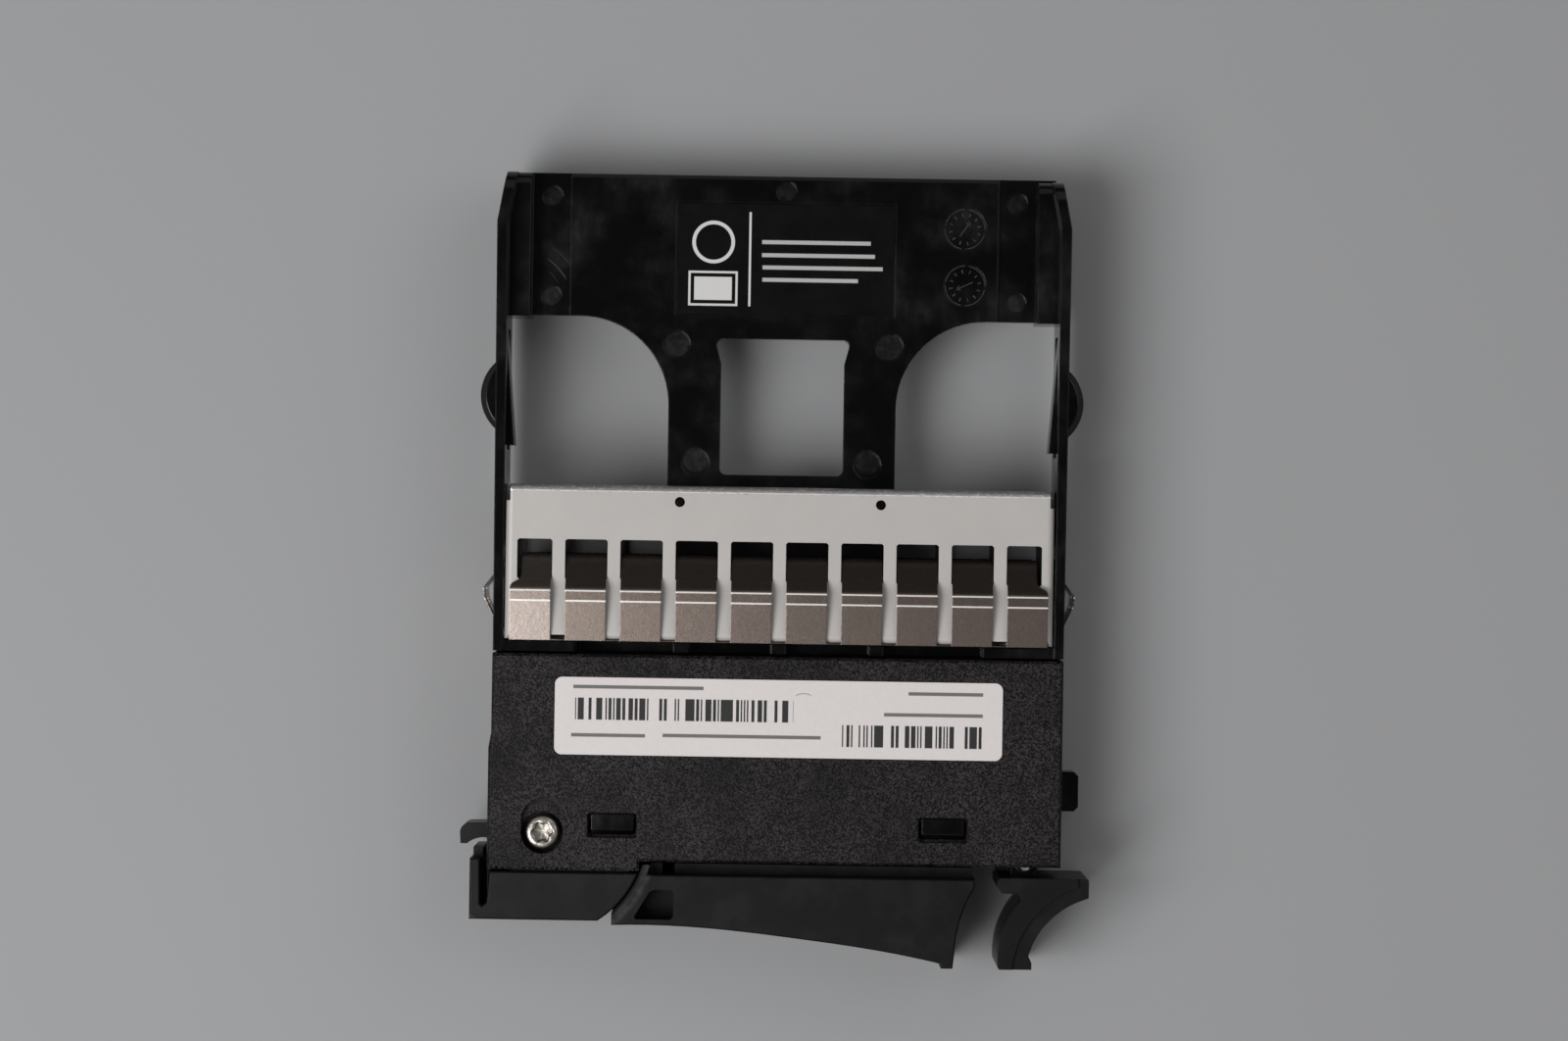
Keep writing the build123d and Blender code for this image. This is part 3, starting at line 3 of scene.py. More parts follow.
import bmesh
import bpy
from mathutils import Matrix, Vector


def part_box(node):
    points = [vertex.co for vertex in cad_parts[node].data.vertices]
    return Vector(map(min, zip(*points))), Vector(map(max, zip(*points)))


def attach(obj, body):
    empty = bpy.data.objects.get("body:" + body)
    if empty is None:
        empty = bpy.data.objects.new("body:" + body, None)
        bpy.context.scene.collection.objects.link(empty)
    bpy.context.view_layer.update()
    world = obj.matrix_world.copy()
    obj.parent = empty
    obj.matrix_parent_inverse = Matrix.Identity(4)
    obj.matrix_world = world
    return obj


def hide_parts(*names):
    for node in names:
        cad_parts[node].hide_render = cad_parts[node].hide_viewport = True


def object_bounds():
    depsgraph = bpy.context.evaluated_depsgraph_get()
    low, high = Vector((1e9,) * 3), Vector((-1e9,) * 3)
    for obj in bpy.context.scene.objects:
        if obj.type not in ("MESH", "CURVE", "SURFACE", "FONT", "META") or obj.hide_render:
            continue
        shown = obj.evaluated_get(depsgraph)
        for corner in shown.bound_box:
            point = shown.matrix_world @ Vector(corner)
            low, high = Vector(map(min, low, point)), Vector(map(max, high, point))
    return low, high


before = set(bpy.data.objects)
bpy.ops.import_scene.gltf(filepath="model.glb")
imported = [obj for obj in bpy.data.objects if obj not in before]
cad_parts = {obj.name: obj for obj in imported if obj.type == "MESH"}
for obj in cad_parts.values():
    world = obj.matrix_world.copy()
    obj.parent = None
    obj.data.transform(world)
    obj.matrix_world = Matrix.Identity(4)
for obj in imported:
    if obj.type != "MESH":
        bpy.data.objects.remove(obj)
cad_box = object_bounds()


# ---- Carrier frame
# One injection moulding in glossy black plastic: the housing's tray, side rails, web, legs and rear
# plate. Handling has left cloudy smears, dust and a few curved scratches, and the mould's ejector
# pins have left dull round marks.

class Wire:
    """A shader socket that can stand in a sum."""

    def __init__(self, nodes, socket):
        self.nodes = nodes
        self.socket = socket

    def maths(self, operation, *terms):
        return self.nodes.node("ShaderNodeMath", {"operation": operation}, dict(enumerate(terms)))[0]

    def __add__(self, other):
        return self.maths("ADD", self, other)

    def __sub__(self, other):
        return self.maths("SUBTRACT", self, other)

    def __rsub__(self, other):
        return self.maths("SUBTRACT", other, self)

    def __mul__(self, other):
        return self.maths("MULTIPLY", self, other)

    def __truediv__(self, other):
        return self.maths("DIVIDE", self, other)

    def __pow__(self, other):
        return self.maths("POWER", self, other)

    def __lt__(self, other):
        return self.maths("LESS_THAN", self, other)

    def __abs__(self):
        return self.maths("ABSOLUTE", self)

    __radd__ = __add__
    __rmul__ = __mul__


class Sockets:
    """The output sockets of one node, by name or number."""

    def __init__(self, nodes, node):
        self.nodes = nodes
        self.node = node

    def __getitem__(self, key):
        return Wire(self.nodes, self.node.outputs[key])


class Nodes:
    """A node tree that is built from expressions."""

    def __init__(self, tree):
        self.tree = tree

    def node(self, kind, settings, sockets):
        """A node of a type, with its settings, then the values or links of its sockets."""
        node = self.tree.nodes.new(kind)
        for setting, value in settings.items():
            setattr(node, setting, value)
        for socket, value in sockets.items():
            if isinstance(value, Wire):
                self.tree.links.new(value.socket, node.inputs[socket])
            else:
                node.inputs[socket].default_value = value
        return Sockets(self, node)

    def ramp(self, value, low, high):
        """0 below low and 1 above high, smooth between."""
        settings = {"interpolation_type": "SMOOTHSTEP"}
        sockets = {"Value": value, "From Min": low, "From Max": high}
        return self.node("ShaderNodeMapRange", settings, sockets)["Result"]

    def band(self, value, start, full, wane, end):
        """1 from full to wane, smooth down to 0 at start and at end."""
        return self.ramp(value, start, full) * (1 - self.ramp(value, wane, end))

    def line(self, off, half, fade):
        """1 within half of a line, smooth down to 0 at fade, by the distance off it."""
        return 1 - self.ramp(abs(off), half, fade)


class Finish(Nodes):
    """A surface finish, whose lengths are in millimetres on the object."""

    def __init__(self, name, **uniform):
        self.material = bpy.data.materials.new(name)
        self.material.use_nodes = True
        super().__init__(self.material.node_tree)
        self.shader = self.tree.nodes["Principled BSDF"]
        for socket, value in uniform.items():
            self.shader.inputs[socket.replace("_", " ")].default_value = value
        spot = self.node("ShaderNodeTexCoord", {}, {})["Object"]
        scaled = self.node("ShaderNodeVectorMath", {"operation": "SCALE"}, {0: spot, "Scale": 1000})
        self.place = scaled["Vector"]
        axes = self.node("ShaderNodeSeparateXYZ", {}, {"Vector": self.place})
        self.x, self.y, self.z = axes["X"], axes["Y"], axes["Z"]

    def noise(self, scale, detail=3, roughness=0.6, stretch=(1, 1, 1)):
        """Cloudy noise from 0 to 1, with scale features to the millimetre."""
        where = self.node("ShaderNodeVectorMath", {"operation": "MULTIPLY"}, {0: self.place, 1: stretch})
        sockets = {"Vector": where["Vector"], "Scale": scale, "Detail": detail, "Roughness": roughness}
        return self.node("ShaderNodeTexNoise", {}, sockets)["Fac"]

    def reach(self, x, y):
        """Distance from a point of the plan."""
        dx, dy = self.x - x, self.y - y
        return (dx * dx + dy * dy) ** 0.5

    def blend(self, share, first, second):
        """One colour over another, by share."""
        colours = [c if isinstance(c, Wire) else (*c, 1) for c in (first, second)]
        settings = {"data_type": "RGBA", "clamp_factor": True}
        return self.node("ShaderNodeMix", settings, {0: share, 6: colours[0], 7: colours[1]})[2]

    def feed(self, socket, wire):
        """What varies over the surface, into one socket of the shader."""
        self.tree.links.new(wire.socket, self.shader.inputs[socket])

    def relief(self, height, depth, edge=0.0):
        """Bumps of a depth, and edges that catch the light as if broken by a small radius."""
        sockets = {"Height": height, "Distance": depth / 1000}
        if edge:
            settings = {"samples": 4}
            sockets["Normal"] = self.node("ShaderNodeBevel", settings, {"Radius": edge / 1000})["Normal"]
        self.feed("Normal", self.node("ShaderNodeBump", {}, sockets)["Normal"])

    def cover(self, *nodes):
        """Finish CAD nodes."""
        for name in nodes:
            self.dress(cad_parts[name])

    def dress(self, piece):
        """Finish one piece, on the object and not on its mesh."""
        if not piece.material_slots:
            piece.data.materials.append(None)
        for slot in piece.material_slots:
            slot.link = "OBJECT"
            slot.material = self.material


def corners(node):
    """Lowest and highest corner of a node, in millimetres."""
    return [corner * 1000 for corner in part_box(node)]


# places on the rear plate are across from its middle line and back from its rear edge
LABEL_OFF_CENTRE = 0.2
rear_label_low, rear_label_high = corners("rear_label")
middle_x = (rear_label_low.x + rear_label_high.x) / 2 - LABEL_OFF_CENTRE
rear_y = corners("carrier_frame")[1].y

EJECTOR_MARKS = [(0.2, 2.1, 1.4), (-32.1, 17.0, 1.4), (32.1, 17.0, 1.4), (-32.1, 3.2, 1.4),
                 (32.1, 3.2, 1.4), (-14.7, 23.4, 1.9), (14.7, 23.4, 1.9), (-11.85, 39.3, 1.9),
                 (11.85, 39.3, 1.9)]                                # across, back, radius
MARK_FADE = (0.35, 0.05)                                            # inside the mark's radius
SCRATCH_CENTRE = (-37.2, 18.6)
SCRATCHES = [(8.1, 27, 60, 1.0), (9.7, 35, 63, 0.4), (6.9, 28, 52, 0.35)]      # radius, angles, strength
SCRATCH_HALF = (0.03, 0.13)
SCRATCH_ENDS = (6, 10)                                              # degrees over which its ends fade
CLEAN_BLACK = (0.0011, 0.0011, 0.0012)
SMEARED_BLACK = (0.0115, 0.011, 0.0107)
SCRATCHED_BLACK = (0.045, 0.043, 0.042)

black = Finish("gloss_black_moulding", IOR=1.46)
dull_marks = 0.0
for across, back, radius in EJECTOR_MARKS:
    far = black.reach(middle_x + across, rear_y - back)
    dull_marks = dull_marks + (1 - black.ramp(far, radius - MARK_FADE[0], radius - MARK_FADE[1]))
scratch = 0.0
scratch_x, scratch_y = middle_x + SCRATCH_CENTRE[0], rear_y - SCRATCH_CENTRE[1]
far = black.reach(scratch_x, scratch_y)
angle = black.x.maths("ARCTAN2", black.y - scratch_y, black.x - scratch_x)
for radius, start, end, strength in SCRATCHES:
    within = black.band(angle, radians(start), radians(start + SCRATCH_ENDS[0]),
                        radians(end - SCRATCH_ENDS[1]), radians(end))
    scratch = scratch + black.line(far - radius, *SCRATCH_HALF) * within * strength
cloud = black.ramp(black.noise(0.1, 4), 0.38, 0.78)
streak = black.ramp(black.noise(0.6, 4, stretch=(1, 0.3, 1)), 0.3, 0.85)
smear = cloud * (0.4 + 0.6 * streak)
dust = black.ramp(black.noise(3.4, 2, 0.5), 0.72, 0.78)
mottle = black.noise(1.1)
dull = smear + dull_marks * (1.1 * mottle - 0.15)
surface = black.blend(0.8 * dull + 0.6 * dust, CLEAN_BLACK, SMEARED_BLACK)
black.feed("Base Color", black.blend(scratch, surface, SCRATCHED_BLACK))
black.feed("Roughness", 0.15 + 0.22 * dull)
black.relief(0.8 * black.noise(0.8, 3, 0.5) + 0.2 * black.noise(6, 2, 0.5), 0.02, edge=0.22)
black.cover("carrier_frame")


# ---- Date inserts
# Two steel inserts in the mould leave a ring, an arrow and tick marks in round seats of the rear
# plate. They stand a little proud of the seat's floor, in the carrier's own plastic, which is painted
# lighter on them, in random patches, as a painted highlight on the ridges.

INSERTS = [(24.9, 6.9, 55), (25.0, 14.7, 205)]           # across, back, arrow's angle
SEAT_DROP = 0.12                                         # the seat's floor, below the rear label's top
RIDGE_FOOT = 0.08                                        # below the seat's floor
RIDGE_HEIGHT = 0.12
RIDGE_CROWN = 0.55                                       # share of its width at its top
RING_RADIUS = 2.75
RING_WIDTH = 0.2
RING_ARC = range(0, 88, 8)                               # the ring is four arcs with gaps between
TICKS = 12
TICK_REACH = (1.75, 2.25)
TICK_WIDTH = 0.3
TICK_LEAN = 11
TICK_DROP = 0.03                                         # ticks are lower than the rest
ARROW_REACH = (1.2, 1.3)                                 # tail and tip, from the middle
ARROW_WIDTH = 0.22
BARB_LENGTH = 0.7
BARB_LEAN = 150
BARB_WIDTH = 0.2
SHADED_PLASTIC = (0.0045, 0.0043, 0.0043)
PAINTED_HIGHLIGHT_PLASTIC = (0.03, 0.0285, 0.0275)

# A black lighter than the carrier's, in random patches: a painted highlight on the raised ridges.
black_with_painted_highlight = Finish("black_moulding_painted_highlight", IOR=1.46)
blotches = black_with_painted_highlight.noise(1.6)
painted_light_mask = black_with_painted_highlight.ramp(blotches, 0.35, 0.6)
black_with_painted_highlight.feed("Base Color", black_with_painted_highlight.blend(painted_light_mask, SHADED_PLASTIC, PAINTED_HIGHLIGHT_PLASTIC))
black_with_painted_highlight.feed("Roughness", 0.35 + 0.2 * blotches)
black_with_painted_highlight.relief(blotches, 0.02)


def polar(middle, radius, degrees):
    """Point of the plan at a radius and an angle from a middle."""
    return middle[0] + radius * cos(radians(degrees)), middle[1] + radius * sin(radians(degrees))


def ridge(shape, path, width, floor, top):
    """Low ridge along a run of points, with sloping sides and flat ends."""
    rows = []
    for index, (x, y) in enumerate(path):
        before, after = path[max(index - 1, 0)], path[min(index + 1, len(path) - 1)]
        run = Vector((after[0] - before[0], after[1] - before[1])).normalized()
        side = Vector((-run.y, run.x)) * width / 2
        rows.append([shape.verts.new(Vector((x + side.x * s, y + side.y * s, z)) / 1000)
                     for s, z in ((1, floor), (RIDGE_CROWN, top), (-RIDGE_CROWN, top), (-1, floor))])
    for here, there in zip(rows, rows[1:]):
        for a in range(4):
            shape.faces.new((here[a], here[a - 1], there[a - 1], there[a]))
    for row, turn in ((rows[0], 1), (rows[-1], -1)):
        shape.faces.new(row[::turn])


def add_piece(name, shape, body, finish, smooth=30):
    """An object from a shape, with its finish, riding on a body."""
    bmesh.ops.recalc_face_normals(shape, faces=shape.faces)
    mesh = bpy.data.meshes.new(name)
    shape.to_mesh(mesh)
    shape.free()
    piece = bpy.data.objects.new(name, mesh)
    bpy.context.scene.collection.objects.link(piece)
    mesh.shade_smooth()
    mesh.set_sharp_from_angle(angle=radians(smooth))
    finish.dress(piece)
    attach(piece, body)
    return piece


seat = rear_label_high.z - SEAT_DROP
floor, top = seat - RIDGE_FOOT, seat + RIDGE_HEIGHT
for number, (across, back, arrow) in enumerate(INSERTS):
    shape = bmesh.new()
    middle = middle_x + across, rear_y - back
    for start in range(0, 360, 90):
        arc = [polar(middle, RING_RADIUS, start + step) for step in RING_ARC]
        ridge(shape, arc, RING_WIDTH, floor, top)
    for tick in range(TICKS):
        lean = 360 / TICKS * tick + TICK_LEAN
        ridge(shape, [polar(middle, far, lean) for far in TICK_REACH], TICK_WIDTH, floor, top - TICK_DROP)
    tail, tip = polar(middle, ARROW_REACH[0], arrow + 180), polar(middle, ARROW_REACH[1], arrow)
    ridge(shape, [tail, tip], ARROW_WIDTH, floor, top)
    for barb in (-BARB_LEAN, BARB_LEAN):
        ridge(shape, [tip, polar(tip, BARB_LENGTH, arrow + barb)], BARB_WIDTH, floor, top)
    add_piece(f"date_insert_{number + 1}", shape, "carrier", black_with_painted_highlight)


# ---- Front cover
# The upper half of the housing, in black plastic with a coarse spark-eroded texture that sparkles.
# It snaps on to the tray's hooks and is clamped by the pivot screw.

GRAIN_DARK = (0.0008, 0.0006, 0.0007)
GRAIN_LIGHT = (0.037, 0.0308, 0.032)
WORN_EDGE = (0.09, 0.083, 0.08)
EDGE_WEAR = (0.1, 0.55)                                  # back from the front edge

grain = Finish("textured_black_moulding", IOR=1.46, Specular_IOR_Level=0.15)
front_y = corners("front_cover")[0].y
speckle = grain.noise(4.2, 2)
patch = grain.ramp(grain.noise(0.13, 4, 0.62), 0.32, 0.68)
tone = grain.ramp(speckle, 0.43, 0.64)
edge_wear = 1 - grain.ramp(grain.y, front_y + EDGE_WEAR[0], front_y + EDGE_WEAR[1])
edge_wear = edge_wear * grain.ramp(speckle, 0.5, 0.6)
surface = grain.blend(tone * (0.5 + 0.75 * patch), GRAIN_DARK, GRAIN_LIGHT)
grain.feed("Base Color", grain.blend(0.6 * edge_wear, surface, WORN_EDGE))
grain.feed("Roughness", 0.36 + 0.12 * tone)
grain.relief(speckle, 0.09, edge=0.15)
grain.cover("front_cover")


# ---- Bezel end cap, handle lever and squeeze latch
# Three mouldings in satin black plastic: the fixed cap, the grip that turns on the pivot screw, and
# the hook-shaped tab that lets it go. Their faces are plain and a little rubbed. The grip's nose, where
# it turns past the cap, is painted lighter, partly for rubbing wear and partly as a painted highlight on
# its bevel, and the pocket in the grip is painted dark as painted shade.

SATIN_BLACK = (0.0062, 0.0057, 0.0061)
SATIN_RUBBED = (0.0105, 0.0098, 0.0101)
NOSE_WEAR_AND_HIGHLIGHT = (0.034, 0.031, 0.031)
POCKET_PAINTED_SHADE = (0.001, 0.001, 0.001)
NOSE_ARC = (14.7, 14.95, 15.7, 16.3)                     # radii about the pivot
NOSE_RIGHT = (15.2, 15.9)                                # to the right of the pivot
POCKET_ARC = (16.0, 16.5, 21.3, 22.3)
POCKET_FRONT = (12.5, 12.2)                              # in front of the pivot
POCKET_DEPTH = (2.4, 1.2)                                # below the grip's top

satin = Finish("satin_black_moulding", IOR=1.46, Specular_IOR_Level=0.2)
rub = satin.ramp(satin.noise(0.22, 4), 0.4, 0.75)
fleck = satin.ramp(satin.noise(3.6, 2, 0.5), 0.73, 0.79)
screw_low, screw_high = corners("pivot_screw")
pivot = (screw_low + screw_high) / 2
grip_low, grip_high = corners("handle_lever")
arc = satin.reach(pivot.x, pivot.y)
# The grip's nose band is painted lighter: rubbing wear, and a painted highlight on its bevel.
nose_wear_and_highlight = satin.band(arc, *NOSE_ARC) * satin.ramp(satin.x, grip_low.x - 0.2, grip_low.x)
nose_wear_and_highlight = nose_wear_and_highlight * (1 - satin.ramp(satin.x, pivot.x + NOSE_RIGHT[0], pivot.x + NOSE_RIGHT[1]))
nose_wear_and_highlight = nose_wear_and_highlight * (0.45 + 0.55 * satin.ramp(satin.noise(0.7), 0.4, 0.6))
# The grip's pocket is painted darker below the grip's top: painted shade in the recess.
pocket_shade = 1 - satin.ramp(satin.z, grip_high.z - POCKET_DEPTH[0], grip_high.z - POCKET_DEPTH[1])
pocket_shade = pocket_shade * satin.band(arc, *POCKET_ARC)
pocket_shade = pocket_shade * satin.ramp(satin.y, pivot.y - POCKET_FRONT[0], pivot.y - POCKET_FRONT[1])
surface = satin.blend(0.8 * rub + 0.5 * fleck, SATIN_BLACK, SATIN_RUBBED)
surface = satin.blend(nose_wear_and_highlight, surface, NOSE_WEAR_AND_HIGHLIGHT)
satin.feed("Base Color", satin.blend(0.85 * pocket_shade, surface, POCKET_PAINTED_SHADE))
satin.feed("Roughness", 0.34 + 0.05 * rub)
satin.relief(satin.noise(4.5), 0.015, edge=0.15)
satin.cover("bezel_end_cap", "handle_lever", "latch_hook")


# ---- Shielding box
# Two folded halves in thin tin-plated steel, dull and almost white, nested over the carrier's web.
# The top's rear edge is painted grey, partly for wear and partly as the bend's dark reflection, with
# painted glints over it and a painted highlight along its bend. The lower half's inside floor is
# painted dark as painted shade.

TIN = (0.47, 0.45, 0.43)
SMUDGED_TIN = (0.395, 0.375, 0.36)
GREYED_TIN_AND_PAINTED_REFLECTION = (0.33, 0.32, 0.33)
PAINTED_GLINT_TIN = (0.62, 0.6, 0.58)
PAINTED_BEND_HIGHLIGHT = (0.85, 0.83, 0.81)
PAINTED_SHADE_TIN = (0.02, 0.02, 0.02)
REAR_BAND_BACK = (1.1, 0.6)                                   # before the rear edge
REAR_BAND_DOWN = (1.4, 0.6)                                   # below the top
BEND_BACK = 0.85
BEND_HALF = (0.03, 0.13)
INSIDE_SHADE_BAND = (0.1, 0.25, 0.4, 0.6)                        # above the underside

tin = Finish("dull_tin_plate")
shield_high = corners("shield_top")[1]
cloud = tin.noise(0.15, 4)
speck = tin.ramp(tin.noise(2.4), 0.66, 0.72)
ragged = tin.noise(0.9, 4, 0.65, (1, 2.2, 1))
# The band along the top's rear edge is painted grey: partly wear, partly the bend's dark reflection painted
# in.
painted_light_mask = tin.ramp(tin.y + 1.8 * (ragged - 0.5), shield_high.y - REAR_BAND_BACK[0], shield_high.y - REAR_BAND_BACK[1])
painted_light_mask = painted_light_mask * tin.ramp(tin.z, shield_high.z - REAR_BAND_DOWN[0], shield_high.z - REAR_BAND_DOWN[1])
# Bright flecks in that band are painted glints.
glint = tin.ramp(tin.noise(1.6, 2, stretch=(1, 2.5, 1)), 0.55, 0.62) * painted_light_mask
# A bright line along the rear bend: a painted highlight.
bend = tin.line(tin.y - (shield_high.y - BEND_BACK), *BEND_HALF) * tin.ramp(ragged, 0.35, 0.55)
plate = tin.blend(0.7 * cloud + 0.25 * speck, TIN, SMUDGED_TIN)
plate = tin.blend(0.55 * painted_light_mask, plate, GREYED_TIN_AND_PAINTED_REFLECTION)
plate = tin.blend(glint, plate, PAINTED_GLINT_TIN)
tin.feed("Base Color", tin.blend(0.85 * bend, plate, PAINTED_BEND_HIGHLIGHT))
tin.feed("Metallic", 0.2 + 0.5 * painted_light_mask)
tin.feed("Roughness", 0.5 + 0.12 * speck - 0.15 * painted_light_mask)
tin.relief(tin.noise(1.2, 3, 0.5), 0.012, edge=0.12)
tin.cover("shield_top")

lower_tin = Finish("dull_tin_plate_painted_shade_inside")
underside = corners("shield_bottom")[0].z
# The lower half's inside floor is painted dark: painted shade.
painted_inside_shade = lower_tin.band(lower_tin.z, *[underside + rise for rise in INSIDE_SHADE_BAND])
cloud = lower_tin.noise(0.15, 4)
plate = lower_tin.blend(0.7 * cloud, TIN, SMUDGED_TIN)
lower_tin.feed("Base Color", lower_tin.blend(painted_inside_shade, plate, PAINTED_SHADE_TIN))
lower_tin.feed("Metallic", 0.2 - 0.2 * painted_inside_shade)
lower_tin.feed("Roughness", 0.5 + 0.1 * cloud)
lower_tin.relief(cloud, 0.012, edge=0.12)
lower_tin.cover("shield_bottom")


# ---- Contact finger strips
# Bent spring steel, smoother than the box and brown with age. Its colour is painted lightest on the
# first finger and darker towards the right, as painted light falling off from the left. Insertion has
# rubbed faint lines along the fingers. The two bends at their crest carry painted highlight lines,
# and the slope behind the second bend carries painted shade.

CREST_LINES = (5.45, 6.85)                               # the two bends, from the strip's front edge
CREST_HALF = (0.06, 0.16)
SHADE_BEHIND = (0.1, 0.7)                                # behind the second bend
FIRST_FINGER = (0.085, 0.09)                             # where it ends, as a share of the strip
CLEAN_SPRING = (0.5, 0.43, 0.39)
STAINED_SPRING = (0.3, 0.25, 0.225)
RUBBED_SPRING = (0.6, 0.54, 0.49)
TARNISH_PAINTED_LIT_LEFT = (0.31, 0.253, 0.216)
TARNISH_PAINTED_DIM_RIGHT = (0.158, 0.118, 0.1)
STREAK_BROWN = (0.12, 0.09, 0.078)
SHADE_BROWN = (0.05, 0.045, 0.042)
PAINTED_CREST_HIGHLIGHT = (0.85, 0.81, 0.77)

springy = Finish("spring_contact_sheet", Metallic=1.0)
strip_low, strip_high = corners("finger_strip_top")
along = (springy.x - strip_low.x) / (strip_high.x - strip_low.x)
back_bend = strip_low.y + CREST_LINES[1]
stain = springy.noise(0.4, 5, 0.65)
rubbed = springy.ramp(springy.noise(1.6, stretch=(2.2, 0.35, 1)), 0.5, 0.75)
pit = springy.ramp(springy.noise(2.6), 0.62, 0.7)
# The first finger is painted lightest and the rest darker towards the right: painted light falling off from
# the left, over a brown tint.
first = 1 - springy.ramp(along, *FIRST_FINGER)
tint = springy.blend(along ** 0.5, TARNISH_PAINTED_LIT_LEFT, TARNISH_PAINTED_DIM_RIGHT)
streaks = springy.ramp(springy.noise(4.6, 3, 0.65, (1.4, 0.6, 1)), 0.36, 0.7)
shade = springy.ramp(springy.y, back_bend + SHADE_BEHIND[0], back_bend + SHADE_BEHIND[1])
# The two bends at the crest are painted bright: painted highlight lines.
crest_highlight = 0.0
for bend in CREST_LINES:
    crest_highlight = crest_highlight + springy.line(springy.y - (strip_low.y + bend), *CREST_HALF)
finger_tone = springy.blend(0.8 * stain + 0.25 * pit, CLEAN_SPRING, STAINED_SPRING)
finger_tone = springy.blend(0.35 * rubbed, finger_tone, RUBBED_SPRING)
finger_tone = springy.blend(0.75 - 0.75 * first, finger_tone, tint)
finger_tone = springy.blend(0.4 * streaks * (1 - 0.6 * first), finger_tone, STREAK_BROWN)
finger_tone = springy.blend(0.6 * shade, finger_tone, SHADE_BROWN)
springy.feed("Base Color", springy.blend(crest_highlight, finger_tone, PAINTED_CREST_HIGHLIGHT))
springy.feed("Metallic", 1 - 0.6 * crest_highlight)
springy.feed("Roughness", 0.22 + 0.08 * stain + 0.05 * pit)
springy.relief(springy.noise(1.5, 3, 0.5), 0.008, edge=0.12)
springy.cover("finger_strip_top", "finger_strip_bottom", "finger_strip_left", "finger_strip_right")


# ---- Pivot screw
# Pan-head machine screw in bright zinc-plated steel, with a six-lobed socket whose edges use has
# rounded. It clamps the cover and carries the handle on its sleeve.

BRIGHT_ZINC = (0.4, 0.378, 0.34)
DULLED_ZINC = (0.15, 0.138, 0.12)
HEAD_RADIUS = 2.4
HEAD_HEIGHT = 1.8
SHANK_RADIUS = 1.5
SHANK_POINT = (0.4, 0.35)                                # height and width of the chamfer at its end
SOCKET_MEAN = 1.24
SOCKET_LOBE = 0.17
SOCKET_DEPTH = 1.1
TURN_STEPS = 96
# share of the socket's outline, distance added to it, height over the crown
HEAD_RINGS = [(0.3, 0, -1.2), (0.9, 0, -SOCKET_DEPTH), (0.98, 0, -0.9), (1, 0, -0.22), (1, 0.05, -0.08),
              (1, 0.16, 0)]
# radius, height over the crown
HEAD_RIM = [(1.75, -0.04), (2.05, -0.14), (2.25, -0.3), (2.36, -0.52), (HEAD_RADIUS, -0.85),
            (HEAD_RADIUS, -HEAD_HEIGHT), (SHANK_RADIUS, -HEAD_HEIGHT)]

zinc = Finish("bright_zinc_plate", Metallic=1.0)
blotches = zinc.noise(1.6, 4, 0.65)
zinc.feed("Base Color", zinc.blend(zinc.ramp(blotches, 0.42, 0.7), BRIGHT_ZINC, DULLED_ZINC))
zinc.feed("Roughness", 0.24 + 0.25 * blotches)
zinc.relief(blotches, 0.04)


def socket_edge(turn):
    """Radius of the six-lobed outline at an angle."""
    return SOCKET_MEAN + SOCKET_LOBE * cos(6 * turn)


turns = [tau * step / TURN_STEPS for step in range(TURN_STEPS)]
foot = screw_low.z - screw_high.z
rings = [([share * socket_edge(turn) + added for turn in turns], drop) for share, added, drop in HEAD_RINGS]
for radius, drop in HEAD_RIM + [(SHANK_RADIUS, foot + SHANK_POINT[0]), (SHANK_RADIUS - SHANK_POINT[1], foot)]:
    rings.append(([radius] * TURN_STEPS, drop))
shape = bmesh.new()
rows = []
for radii, drop in rings:
    row = []
    for radius, turn in zip(radii, turns):
        spot = pivot.x + radius * cos(turn), pivot.y + radius * sin(turn), screw_high.z + drop
        row.append(shape.verts.new(Vector(spot) / 1000))
    rows.append(row)
for inner, outer in zip(rows, rows[1:]):
    for step in range(TURN_STEPS):
        shape.faces.new((inner[step - 1], inner[step], outer[step], outer[step - 1]))
shape.faces.new(rows[0])
shape.faces.new(rows[-1])
screw = add_piece("screw_with_lobed_socket", shape, "carrier", zinc, smooth=50)
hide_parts("pivot_screw")


# ---- Latch pin, pivot sleeve and springs
# Ground pin, turned sleeve and two springs of drawn wire, all in plain bright steel. They are caught
# between the tray and the cover, hidden in the housing.

zinc.cover("latch_pin", "pivot_sleeve", "handle_spring", "latch_spring")


# ---- Threaded insert
# Six-sided brass insert that takes the pivot screw, dulled by age. It is pressed into the tray's
# post.

BRIGHT_BRASS = (0.7, 0.5, 0.2)
DULLED_BRASS = (0.4, 0.28, 0.12)

brass = Finish("aged_brass", Metallic=1.0)
tint = brass.noise(1.2, 4)
brass.feed("Base Color", brass.blend(tint, BRIGHT_BRASS, DULLED_BRASS))
brass.feed("Roughness", 0.3 + 0.2 * tint)
brass.cover("threaded_insert")


# ---- Front label
# White printed film stuck on the cover, with two fields of upright bars and plain rules where the
# print had its lines. A short hair is caught under it.

